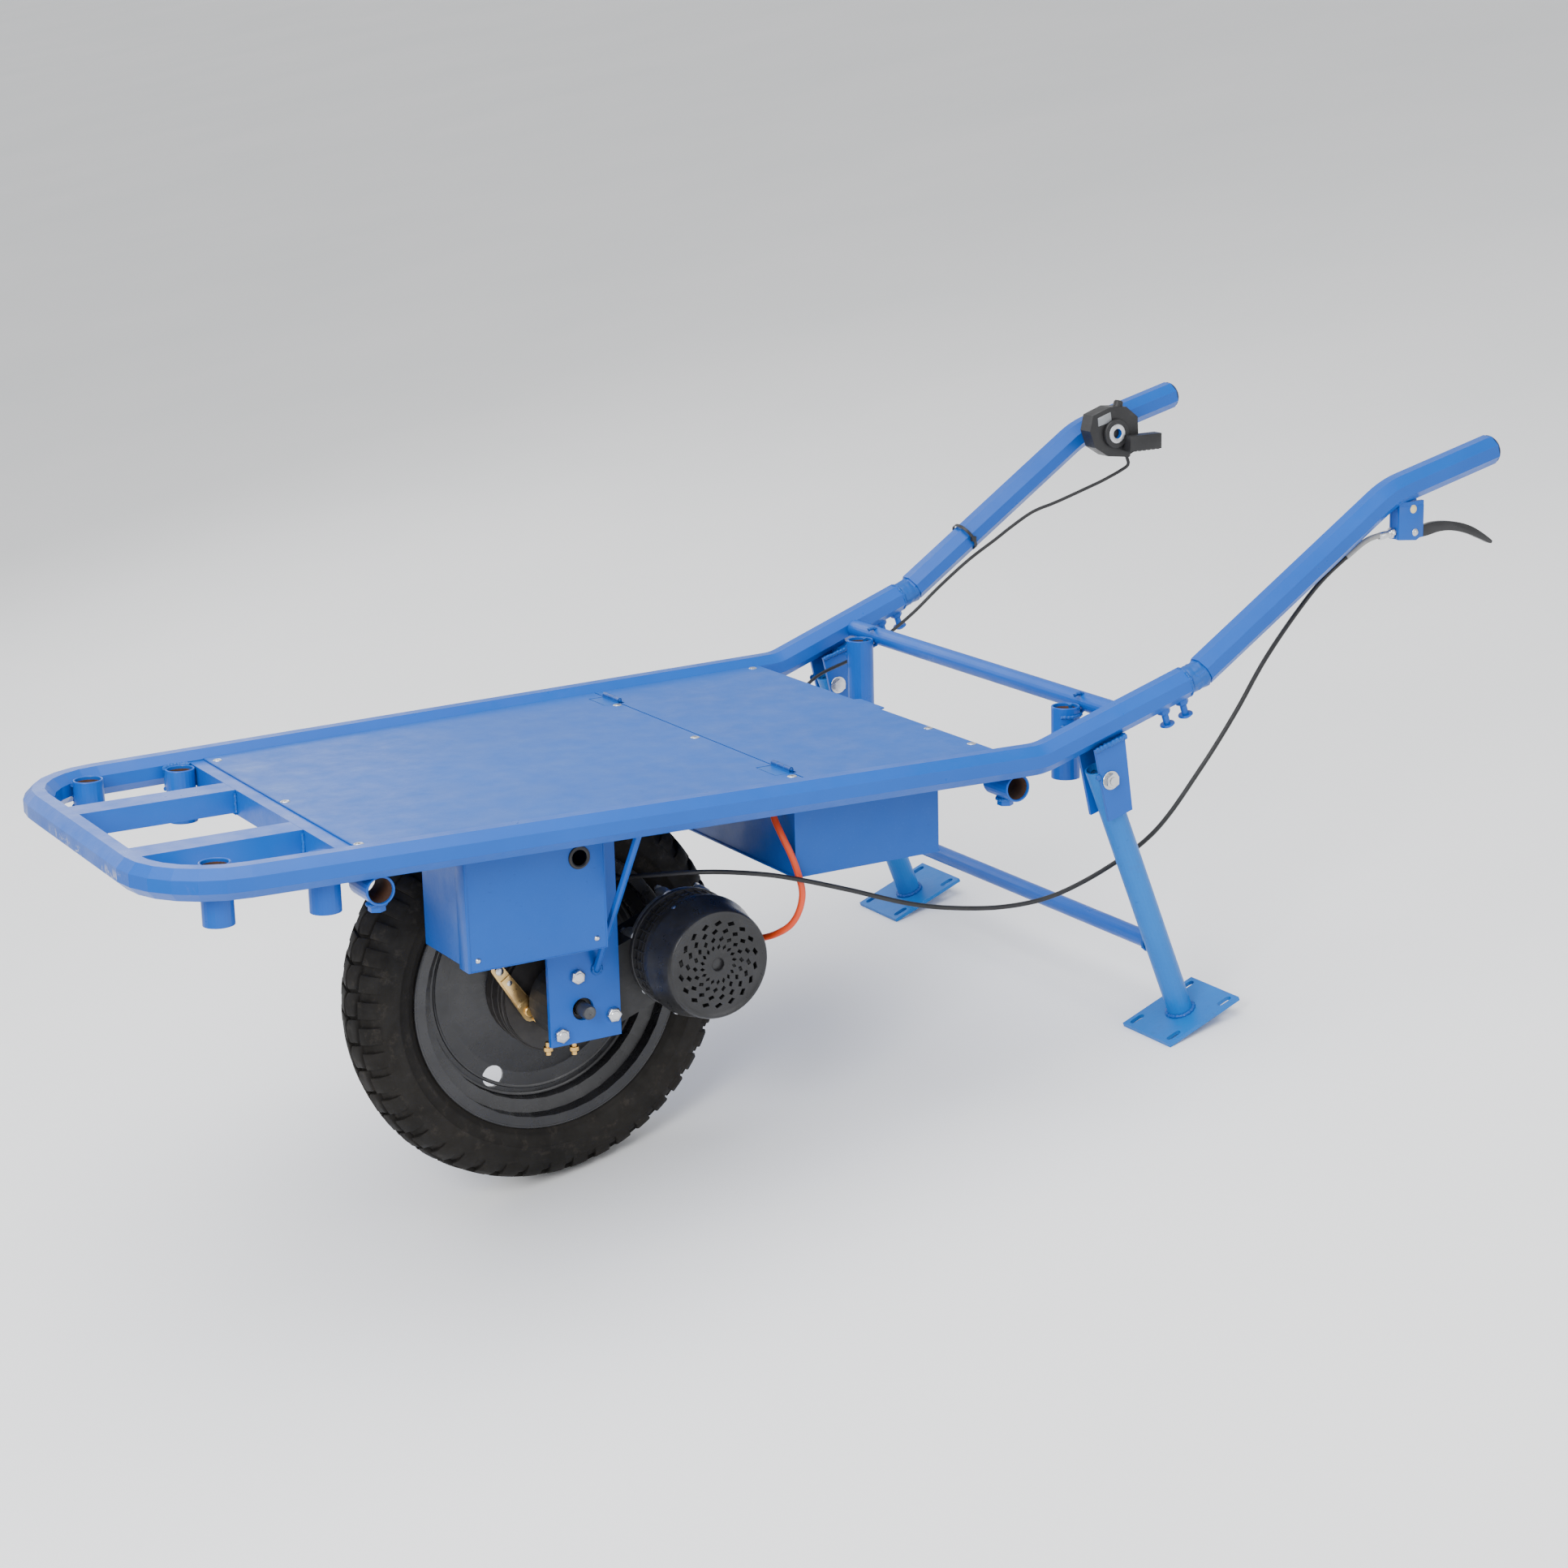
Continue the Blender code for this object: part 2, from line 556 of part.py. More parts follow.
def build_drive():
    capsule = arc((0, AXLE_Z), 0.0450, -110, 71, 12) + arc(MOTOR_AT, 0.046, 71, 250, 12)
    inner = arc((0, AXLE_Z), 0.0422, -110, 71, 12) + arc(MOTOR_AT, 0.0412, 71, 250, 12)
    gearbox = part("gearbox_housing", sheet(capsule, 0.048, upright=True), CAST, (0, 0.102, 0))
    join(gearbox, tool(rod(0.028, 0.012), (0, 0.0752 + 0.006, AXLE_Z), AIM_Y))
    for x, z in BOLTS:
        join(gearbox, tool(rod(0.0085, 0.012, 12), (x, PLATE_Y - GAP - 0.006, z), AIM_Y))
    cut(gearbox, tool(sheet(inner, 0.036, upright=True), (0, 0.102, 0)))
    cut(gearbox, tool(rod(0.0095, 0.10), (0, 0.10, AXLE_Z), AIM_Y))
    cut(gearbox, tool(rod(0.0078, 0.03), (MOTOR_AT[0], 0.125, MOTOR_AT[1]), AIM_Y))
    for axis in ("first_gear_axis", "second_gear_axis"):
        cut(gearbox, tool(rod(0.0063, 0.0440, 16), AXES[axis] + Vector((0, 0.1020, 0)), AIM_Y))

    fins = [(0.0655, 0.0620), (0.0655, 0.0470), (0.0722, 0.0465)]
    for index in range(4):
        top = 0.0465 - 0.0095 * index
        fins += [(0.0722, top - 0.0025), (0.0655, top - 0.0030), (0.0655, top - 0.0090), (0.0722, top - 0.0095)]
    body = fins + [(0.0722, 0.0060), (0.0620, 0.0), (0.0078, 0.0), (0.0078, 0.0620)]
    at = (MOTOR_AT[0], 0.1263, MOTOR_AT[1])
    turn_profile(part("motor_housing", turned(body), ALUMINIUM, at, turn=AIM_Y))
    cap = [(0.0040, 0.0), (0.0600, 0.0), (0.0650, -0.0025), (0.0672, -0.0075), (0.0755, -0.0400),
           (0.0755, -0.0490), (0.0730, -0.0490), (0.0730, -0.0400), (0.0648, -0.0080), (0.0630, -0.0045),
           (0.0595, -0.0028), (0.0040, -0.0028)]
    at = (MOTOR_AT[0], 0.2150, MOTOR_AT[1])
    turn_profile(part("motor_fan_cap", turned(cap), BLACK_PLASTIC, at, turn=AIM_Y))
    fan = [(0.0, 0.0), (0.012, 0.0), (0.012, -0.003), (0.055, -0.003), (0.055, -0.006), (0.0075, -0.006),
           (0.0075, -0.0975), (0.0, -0.0975)]
    at = (MOTOR_AT[0], 0.2075, MOTOR_AT[1])
    rotor = part("motor_rotor", turned(fan, closed=False), STEEL, at, "motor_axis", AIM_Y)
    return turn_profile(rotor, 24)


def build_wheel():
    half = [(0.1668, 0.0290), (0.1740, 0.0340), (0.1820, 0.0395), (0.1920, 0.0455), (0.2060, 0.0490),
            (0.2220, 0.0475), (0.2370, 0.0390), (0.2455, 0.0230)]
    inner = [(0.1668, 0.0200), (0.1830, 0.0340), (0.2050, 0.0395), (0.2220, 0.0370), (0.2330, 0.0270),
             (0.2385, 0.0120)]
    outline = half + [(TYRE_R, 0.0)] + [(r, -z) for r, z in reversed(half)]
    outline += [(r, -z) for r, z in inner] + list(reversed(inner))
    centre = (0, 0, AXLE_Z)
    turn_profile(part("tyre", turned(outline), RUBBER, centre, "wheel_axis", AIM_Y), 40)

    well = [(0.1770, 0.0400), (0.1770, 0.0378), (0.1665, 0.0372), (0.1665, 0.0190), (0.1500, 0.0150)]
    disc = [(0.1635, -0.0400), (0.1635, -0.0210), (0.1475, -0.0170), (0.1475, -0.0025), (0.1150, -0.0020),
            (0.0620, 0.0100), (0.0300, 0.0100), (0.0300, 0.0140), (0.0640, 0.0140), (0.1170, 0.0020),
            (0.1475, 0.0015), (0.1475, 0.0170), (0.1635, 0.0210), (0.1635, 0.0400)]
    rim = part("rim", turned(well + [(r, -z) for r, z in reversed(well)] + disc), BLACK_STEEL, centre,
               "wheel_axis", AIM_Y)
    turn_profile(rim, 40)
    for index in range(3):
        angle = math.radians(-60.6 + 120 * index)
        hole = (0.1285 * math.cos(angle), 0, AXLE_Z + 0.1285 * math.sin(angle))
        cut(rim, tool(rod(0.0140, 0.05, 16), hole, AIM_Y, "wheel_axis"))

    drum = [(0.072, 0.0600), (0.072, 0.0145), (0.0090, 0.0145), (0.0090, 0.0560), (0.022, 0.0560),
            (0.022, 0.0210), (0.066, 0.0210), (0.066, 0.0600)]
    turn_profile(part("brake_drum", turned(drum), BLACK_STEEL, centre, "wheel_axis", AIM_Y))
    mesh, at = rod(0.0086, 0.296), (0, -0.002, AXLE_Z)
    axle = part("wheel_axle", mesh, STEEL, at, "wheel_axis", AIM_Y)
    block_profile = [(0.032, 0.0100), (0.032, -0.0085), (0.0092, -0.0085), (0.0092, 0.0100)]
    at = (0, -PLATE_Y + GAP + 0.0085, AXLE_Z)
    turn_profile(part("right_bearing", turned(block_profile), CAST, at, turn=AIM_Y), 24)
    return axle


def build_brake():
    plate = [(0.070, 0.0), (0.070, -0.0030), (0.0095, -0.0030), (0.0095, 0.0)]
    turn_profile(part("brake_backing_plate", turned(plate), BLACK_STEEL, (0, 0.0640, AXLE_Z), turn=AIM_Y))
    heel, toe = (ARM_AT.x, ARM_AT.z), (0.083, -0.228)
    slope = math.degrees(math.atan2(toe[1] - heel[1], toe[0] - heel[0]))
    outline = arc((0, 0), 0.0105, slope + 90, slope + 270, 8)
    outline += arc((toe[0] - heel[0], toe[1] - heel[1]), 0.0075, slope - 90, slope + 90, 8)
    arm = part("brake_arm", sheet(outline, 0.004, upright=True), ZINC, ARM_AT, "arm_axis")
    shaft = (ARM_AT.x, 0.0690 - 0.0005, ARM_AT.z)
    join(arm, tool(rod(0.0055, 0.0085, 16), (shaft[0], 0.0643 + 0.00425, shaft[2]), AIM_Y, "arm_axis"))
    cut(arm, tool(rod(0.0028, 0.03, 12), (toe[0], 0.072, toe[1]), AIM_Y, "arm_axis"))


# ---------------------------------------------------------------- stand
def build_stand():
    down = leg_down()
    aim = Vector((0, 0, 1)).rotation_difference(-down)
    bolt_y = LEG_Y + 0.021
    for side, sign in SIDES:
        y = sign * LEG_Y
        top = [(x, rail_z(x) - TUBE / 2 / math.cos(math.atan(RISE)) - GAP) for x in (-0.600, -0.643)]
        outer = [top[0], top[1], (-0.655, -0.087), (-0.620, -0.097)]
        inner = [(-0.560, 0.050), (-0.6235, 0.050), (-0.6486, -0.068), (-0.700, -0.068), (-0.700, -0.130),
                 (-0.560, -0.130)]
        bracket = part(side + "_leg_bracket", sheet(outer, 0.042, upright=True), PAINT, (0, y, 0))
        cut(bracket, tool(sheet(inner, 0.033, upright=True), (0, y, 0)))
        cut(bracket, tool(rod(0.0058, 0.08, 16), (PIVOT.x, y, PIVOT.z), AIM_Y))

        above = 0.013
        length = LEG_L + above
        middle = Vector((PIVOT.x, y, PIVOT.z)) + down * (length / 2 - above)
        leg = part(side + "_leg", rod(LEG_R, length), PAINT, middle, "stand_axis", aim)
        foot = Vector((PIVOT.x, y, PIVOT.z)) + down * (LEG_L + FOOT[2] / 2 - 0.0002)
        plate = block((2 * FOOT[0], 2 * FOOT[1], FOOT[2]))
        join(leg, tool(plate, foot, aim, "stand_axis"))
        cut(leg, tool(rod(LEG_R - WALL, length), middle - down * 0.004, aim, "stand_axis"))
        cut(leg, tool(rod(0.0058, 0.08, 16), (PIVOT.x, y, PIVOT.z), AIM_Y, "stand_axis"))
        along = Vector((math.cos(LEG_RAKE), 0, -math.sin(LEG_RAKE)))
        slot = sheet(arc((0.006, 0), 0.0045, -90, 90, 6) + arc((-0.006, 0), 0.0045, 90, 270, 6), 0.03)
        for fore in (-1, 1):
            for across in (-1, 1):
                at = foot + along * (fore * 0.042) + Vector((0, across * 0.038, 0))
                cut(leg, tool(slot, at, aim, "stand_axis"))

        bolt = part(side + "_pivot_bolt", rod(0.0052, 0.056, 16), STEEL, (PIVOT.x, sign * (LEG_Y + 0.001),
                    PIVOT.z), turn=AIM_Y)
        for reach in (1, -1):
            at = (PIVOT.x, y + sign * reach * (0.021 + GAP + 0.003), PIVOT.z)
            join(bolt, tool(rod(0.0095, 0.006, 6), at, AIM_Y))
    reach = 0.246
    half = LEG_Y - LEG_R - 0.0004
    at = Vector((PIVOT.x, 0, PIVOT.z)) + down * reach
    tube = part("stand_cross_tube", rod(0.011, 2 * half), PAINT, at, "stand_axis", AIM_Y)
    cut(tube, tool(rod(0.009, 2 * half + 0.02), at, AIM_Y, "stand_axis"))
    return bolt_y


# ---------------------------------------------------------------- handles and controls
def handle_points(sign):
    """The rail's mouth, the low bend, the high bend and the tip of one handle."""
    mouth = Vector((MOUTH_X, rail_y(MOUTH_X), rail_z(MOUTH_X)))
    along = Vector((-1.0, TAPER, RISE)).normalized()
    low = mouth + along * 0.016
    points = [mouth - along * 0.100, low, BEND2, TIP]
    return points if sign > 0 else mirrored(points)


def build_handle(side, sign):
    axis = side + "_slide"
    inside, low, high, tip = handle_points(sign)
    rising = (high - low).normalized()
    main = rounded([low + rising * 0.010, high, tip], (0.120,))
    neck = rounded([inside, low, low + rising * 0.040], (0.030,), steps=3)
    spigot = TUBE / 2 - WALL - GAP
    shift = Matrix.Translation(-AXES[axis])

    def tube(points, radius):
        mesh = sweep(points, radius / OCT, flat_top=True)
        mesh.transform(shift)
        return mesh

    handle = part(side + "_handle", tube(main, TUBE / 2), PAINT, AXES[axis], axis)
    join(handle, tool(tube(neck, spigot), AXES[axis], axis=axis))
    if sign < 0:
        x, y, z = THROTTLE_AT
        join(handle, tool(rod(0.0135, 0.0580, 20), (x, y - 0.0290, z), AIM_Y, axis))
    bore = [low + rising * 0.014, *main[1:-1], tip + (tip - high).normalized() * 0.015]
    cut(handle, tool(tube(bore, TUBE / 2 - WALL), AXES[axis], axis=axis))
    cut(handle, tool(tube(extended(neck, 0.004), spigot - WALL), AXES[axis], axis=axis))
    grip = (tip - high).normalized()
    rim = TUBE / 2 + 0.0003
    plug = [(0.0, 0.0090), (0.0095, 0.0078), (0.0152, 0.0050), (rim, 0.0006), (rim, GAP), (spigot, GAP),
            (spigot, -0.020), (0.0, -0.020)]
    turn = Vector((0, 0, 1)).rotation_difference(grip)
    turn_profile(part(side + "_grip_plug", turned(plug, closed=False), NAVY_PLASTIC, tip, axis, turn), 24)
    return handle


def build_lever(handle):
    """Brake lever in the fork of a bracket under the left grip."""
    x, y, z = LEVER_AT
    for y0, y1 in ((-0.009, -0.0045), (0.0045, 0.009)):
        mesh, at = span(x - 0.013, x + 0.027, y + y0, y + y1, z - 0.007, z + 0.040)
        join(handle, tool(mesh, at, axis="left_slide"))
    mesh, at = span(x + 0.016, x + 0.027, y - 0.006, y + 0.006, z - 0.007, z + 0.040)
    join(handle, tool(mesh, at, axis="left_slide"))
    outline = [(0.012, 0.006), (0.004, 0.011), (-0.006, 0.011), (-0.016, 0.006), (-0.035, 0.0085),
               (-0.056, 0.0075), (-0.080, 0.003), (-0.100, -0.004), (-0.118, -0.014), (-0.134, -0.025),
               (-0.136, -0.028), (-0.132, -0.030), (-0.112, -0.021), (-0.090, -0.012), (-0.066, -0.006),
               (-0.045, -0.005), (-0.025, -0.008), (-0.005, -0.009), (0.010, -0.007)]
    part("brake_lever", sheet(outline, 0.008, upright=True), BLACK_STEEL, LEVER_AT, "lever_axis")


def build_throttle(handle):
    """Thumb throttle round the stub that points inward from the right grip."""
    x, y, z = THROTTLE_AT
    cut(handle, tool(rod(0.0070, 0.120, 20), (x, y - 0.010, z), AIM_Y, "right_slide"))
    outline = [(0.038, 0.028), (0.008, 0.038), (-0.020, 0.036), (-0.040, 0.020), (-0.042, -0.026),
               (-0.020, -0.036), (0.012, -0.032), (0.034, -0.018), (0.043, 0.006)]
    body = part("throttle_body", sheet(outline, 0.024, upright=True), BLACK_PLASTIC, (x, y - 0.0180, z),
                "right_slide")
    cut(body, tool(rod(0.0139, 0.05, 20), (x, y - 0.0180, z), AIM_Y, "right_slide"))
    paddle = part("throttle_paddle", rod(0.0200, 0.0052, 20), BLACK_PLASTIC, (x, y - 0.0031, z),
                  "paddle_axis", AIM_Y)
    mesh, at = span(x - 0.069, x - 0.014, y - 0.0057, y + 0.012, z - 0.026, z - 0.004)
    join(paddle, tool(mesh, at, axis="paddle_axis"))
    cut(paddle, tool(rod(0.0139, 0.05, 20), (x, y, z), AIM_Y, "paddle_axis"))


# ---------------------------------------------------------------- cables
def smooth_route(points, spacing):
    """Points at an even spacing on a Catmull-Rom curve through the route."""
    points = [Vector(point) for point in points]
    ends = [2 * points[0] - points[1], *points, 2 * points[-1] - points[-2]]
    dense = []
    for index in range(1, len(ends) - 2):
        before, start, end, after = ends[index - 1:index + 3]
        for step in range(20):
            t = step / 20
            dense.append(0.5 * (2 * start + (end - before) * t
                                + (2 * before - 5 * start + 4 * end - after) * t ** 2
                                + (3 * start - before - 3 * end + after) * t ** 3))
    dense.append(points[-1])
    even, walked = [dense[0]], 0.0
    for first, second in zip(dense, dense[1:]):
        walked += (second - first).length
        if walked >= spacing:
            even.append(second)
            walked = 0.0
    if walked > spacing / 2:
        even.append(dense[-1])
    else:
        even[-1] = dense[-1]
    return even


BRAKE_ROUTE = [(-1.0600, 0.3380, 0.2110), (-1.0210, 0.3380, 0.2060), (-0.9870, 0.3365, 0.1870),
               (-0.9490, 0.3320, 0.1580), (-0.9110, 0.3250, 0.1150), (-0.8750, 0.3150, 0.0630),
               (-0.8390, 0.3050, 0.0000), (-0.7940, 0.2950, -0.0660), (-0.7370, 0.2830, -0.1370),
               (-0.6810, 0.2650, -0.1790), (-0.6080, 0.2480, -0.2100), (-0.5400, 0.2400, -0.2160),
               (-0.4670, 0.2350, -0.2070), (-0.3990, 0.2320, -0.1900), (-0.3180, 0.2280, -0.1600),
               (-0.2520, 0.2240, -0.1370), (-0.2030, 0.2190, -0.1230), (-0.1450, 0.1950, -0.1160),
               (-0.1000, 0.1450, -0.1240), (-0.0700, 0.0950, -0.1350), (-0.0350, 0.0660, -0.1430),
               (0.0150, 0.0620, -0.1520), (0.0600, 0.0625, -0.1720), (0.0850, 0.0640, -0.1990),
               (0.0850, 0.0680, -0.2170)]
LEAD_ROUTE = [(-0.2660, 0.1720, -0.0580), (-0.2500, 0.1725, -0.0582), (-0.2420, 0.1800, -0.0660),
              (-0.2430, 0.1960, -0.0860), (-0.2500, 0.2060, -0.1100), (-0.2570, 0.2100, -0.1350),
              (-0.2630, 0.2080, -0.1600), (-0.2610, 0.2010, -0.1850), (-0.2520, 0.1930, -0.2030),
              (-0.2400, 0.1740, -0.2170), (-0.2300, 0.1560, -0.2240),
              (-0.2205, 0.1470, -0.2262)]
THROTTLE_ROUTE = [(-1.1030, -0.2860, 0.2290), (-1.1060, -0.2870, 0.2150), (-1.0750, -0.2950, 0.1980),
                  (-1.0410, -0.3020, 0.1850), (-0.9950, -0.3080, 0.1700), (-0.9590, -0.3120, 0.1600),
                  (-0.9260, -0.3150, 0.1430), (-0.8970, -0.3150, 0.1270), (-0.8500, -0.3150, 0.1020),
                  (-0.8000, -0.3140, 0.0700), (-0.7500, -0.3080, 0.0380), (-0.6950, -0.2980, 0.0120),
                  (-0.6400, -0.2840, -0.0060), (-0.5700, -0.2620, -0.0170), (-0.5200, -0.2300, -0.0300),
                  (-0.4850, -0.1980, -0.0420), (-0.4640, -0.1850, -0.0450)]


def build_cables():
    part("brake_cable", sweep(smooth_route(BRAKE_ROUTE, 0.018), 0.0030), BLACK_PLASTIC)
    part("motor_lead", sweep(smooth_route(LEAD_ROUTE, 0.010), 0.0042), RED_PLASTIC)
    part("throttle_cable", sweep(smooth_route(THROTTLE_ROUTE, 0.014), 0.0024), BLACK_PLASTIC)


build_frame()
build_pockets()
build_sockets()
build_deck()
build_battery()
build_controller()
build_dropouts()
motor_rotor = build_drive()
build_gears(build_wheel(), motor_rotor)
build_brake()
build_stand()
build_lever(build_handle("left", 1))
build_throttle(build_handle("right", -1))
build_cables()
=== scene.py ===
import json
import math

import bmesh
import bpy
from mathutils import Matrix, Vector, noise

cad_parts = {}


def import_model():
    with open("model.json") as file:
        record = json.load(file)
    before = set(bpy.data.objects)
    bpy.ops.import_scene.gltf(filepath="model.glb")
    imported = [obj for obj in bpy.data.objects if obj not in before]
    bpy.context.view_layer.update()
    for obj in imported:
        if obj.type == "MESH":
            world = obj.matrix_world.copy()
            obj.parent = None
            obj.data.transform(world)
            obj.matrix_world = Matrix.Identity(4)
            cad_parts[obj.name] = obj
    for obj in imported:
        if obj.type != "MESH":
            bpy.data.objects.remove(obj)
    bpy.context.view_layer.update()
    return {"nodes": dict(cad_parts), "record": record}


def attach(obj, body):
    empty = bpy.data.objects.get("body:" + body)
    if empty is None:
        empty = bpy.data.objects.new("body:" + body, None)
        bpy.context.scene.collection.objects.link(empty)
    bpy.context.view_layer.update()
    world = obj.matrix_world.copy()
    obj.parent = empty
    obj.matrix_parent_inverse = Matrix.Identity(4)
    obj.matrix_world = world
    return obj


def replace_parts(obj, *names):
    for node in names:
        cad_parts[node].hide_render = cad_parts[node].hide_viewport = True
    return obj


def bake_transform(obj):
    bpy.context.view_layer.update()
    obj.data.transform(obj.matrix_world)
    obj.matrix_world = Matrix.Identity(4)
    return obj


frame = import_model()

# ------------------------------------------------------------------ the machine's own frame
# X forward from the axle, Y to the operator's left, Z up from the deck's top; the record's joints place it.
JOINTS = {joint["name"]: joint for joint in frame["record"]["behaviour"]["joints"]}
AXLE_Z = -0.277
PIVOT_X, PIVOT_Z = -0.622, -0.045
wheel_at = Vector(JOINTS["wheel_spin"]["pos_m"])
stand_at = Vector(JOINTS["stand_fold"]["pos_m"])
rise = math.atan2(stand_at.z - wheel_at.z, stand_at.x - wheel_at.x) % (2 * math.pi)
PITCH = rise - math.atan2(PIVOT_Z - AXLE_Z, PIVOT_X) % (2 * math.pi)
M = (Matrix.Translation(wheel_at) @ Matrix.Rotation(-PITCH, 4, "Y") @ Matrix.Translation((0, 0, -AXLE_Z)))


def world(point):
    return M @ Vector(point)


# ------------------------------------------------------------------ camera, floor and light
camera = bpy.data.objects.new("camera", bpy.data.cameras.new("camera"))
bpy.context.scene.collection.objects.link(camera)
camera.location = world((1.55534, 3.34916, 0.92781))
camera.rotation_euler = (1.2149647, 0.1932513, 2.6047208)
camera.data.lens = 72.17
camera.data.sensor_width = 36.0
bpy.context.scene.camera = camera


def aim(thing, at, target):
    thing.location = at
    thing.rotation_euler = (Vector(target) - Vector(at)).to_track_quat("-Z", "Y").to_euler()


def area_light(name, at, size, power, target=(0, 0, 0.35), colour=(1, 1, 1)):
    data = bpy.data.lights.new(name, "AREA")
    data.shape = "RECTANGLE"
    data.size, data.size_y = size
    data.energy = power
    data.color = colour
    made = bpy.data.objects.new(name, data)
    bpy.context.scene.collection.objects.link(made)
    aim(made, at, target)
    return made


area_light("overhead", (0.3, 0.2, 3.2), (3.2, 2.4), 110)
area_light("key", (2.6, 2.2, 2.6), (1.6, 1.6), 120)
area_light("side_fill", (-1.4, 3.4, 1.2), (2.2, 1.6), 30)
area_light("far_rim", (0.2, -3.2, 1.9), (2.6, 1.4), 30)

world_light = bpy.data.worlds.new("studio")
bpy.context.scene.world = world_light
world_light.use_nodes = True
world_light.node_tree.nodes["Background"].inputs["Color"].default_value = (0.98, 0.99, 1.0, 1)
world_light.node_tree.nodes["Background"].inputs["Strength"].default_value = 0.92


# ------------------------------------------------------------------ cables: the routes of the CAD model
def smooth_route(points, spacing):
    """Points at an even spacing on a Catmull-Rom curve through the route."""
    points = [Vector(point) for point in points]
    ends = [2 * points[0] - points[1], *points, 2 * points[-1] - points[-2]]
    dense = []
    for index in range(1, len(ends) - 2):
        before, start, end, after = ends[index - 1:index + 3]
        for step in range(20):
            t = step / 20
            dense.append(0.5 * (2 * start + (end - before) * t
                                + (2 * before - 5 * start + 4 * end - after) * t ** 2
                                + (3 * start - before - 3 * end + after) * t ** 3))
    dense.append(points[-1])
    even, walked = [dense[0]], 0.0
    for first, second in zip(dense, dense[1:]):
        walked += (second - first).length
        if walked >= spacing:
            even.append(second)
            walked = 0.0
    if walked > spacing / 2:
        even.append(dense[-1])
    else:
        even[-1] = dense[-1]
    return even


BRAKE_ROUTE = [(-1.0600, 0.3380, 0.2110), (-1.0210, 0.3380, 0.2060), (-0.9870, 0.3365, 0.1870),
               (-0.9490, 0.3320, 0.1580), (-0.9110, 0.3250, 0.1150), (-0.8750, 0.3150, 0.0630),
               (-0.8390, 0.3050, 0.0000), (-0.7940, 0.2950, -0.0660), (-0.7370, 0.2830, -0.1370),
               (-0.6810, 0.2650, -0.1790), (-0.6080, 0.2480, -0.2100), (-0.5400, 0.2400, -0.2160),
               (-0.4670, 0.2350, -0.2070), (-0.3990, 0.2320, -0.1900), (-0.3180, 0.2280, -0.1600),
               (-0.2520, 0.2240, -0.1370), (-0.2030, 0.2190, -0.1230), (-0.1450, 0.1950, -0.1160),
               (-0.1000, 0.1450, -0.1240), (-0.0700, 0.0950, -0.1350), (-0.0350, 0.0660, -0.1430),
               (0.0150, 0.0620, -0.1520), (0.0600, 0.0625, -0.1720), (0.0850, 0.0640, -0.1990),
               (0.0850, 0.0680, -0.2170)]
LEAD_ROUTE = [(-0.2660, 0.1720, -0.0580), (-0.2500, 0.1725, -0.0582), (-0.2420, 0.1800, -0.0660),
              (-0.2430, 0.1960, -0.0860), (-0.2500, 0.2060, -0.1100), (-0.2570, 0.2100, -0.1350),
              (-0.2630, 0.2080, -0.1600), (-0.2610, 0.2010, -0.1850), (-0.2520, 0.1930, -0.2030),
              (-0.2400, 0.1740, -0.2170), (-0.2300, 0.1560, -0.2240), (-0.2205, 0.1470, -0.2262)]
THROTTLE_ROUTE = [(-1.1030, -0.2860, 0.2290), (-1.1060, -0.2870, 0.2150), (-1.0750, -0.2950, 0.1980),
                  (-1.0410, -0.3020, 0.1850), (-0.9950, -0.3080, 0.1700), (-0.9590, -0.3120, 0.1600),
                  (-0.9260, -0.3150, 0.1430), (-0.8970, -0.3150, 0.1270), (-0.8500, -0.3150, 0.1020),
                  (-0.8000, -0.3140, 0.0700), (-0.7500, -0.3080, 0.0380), (-0.6950, -0.2980, 0.0120),
                  (-0.6400, -0.2840, -0.0060), (-0.5700, -0.2620, -0.0170), (-0.5200, -0.2300, -0.0300),
                  (-0.4850, -0.1980, -0.0420), (-0.4640, -0.1850, -0.0450)]


def route_length(points):
    return sum((second - first).length for first, second in zip(points, points[1:]))


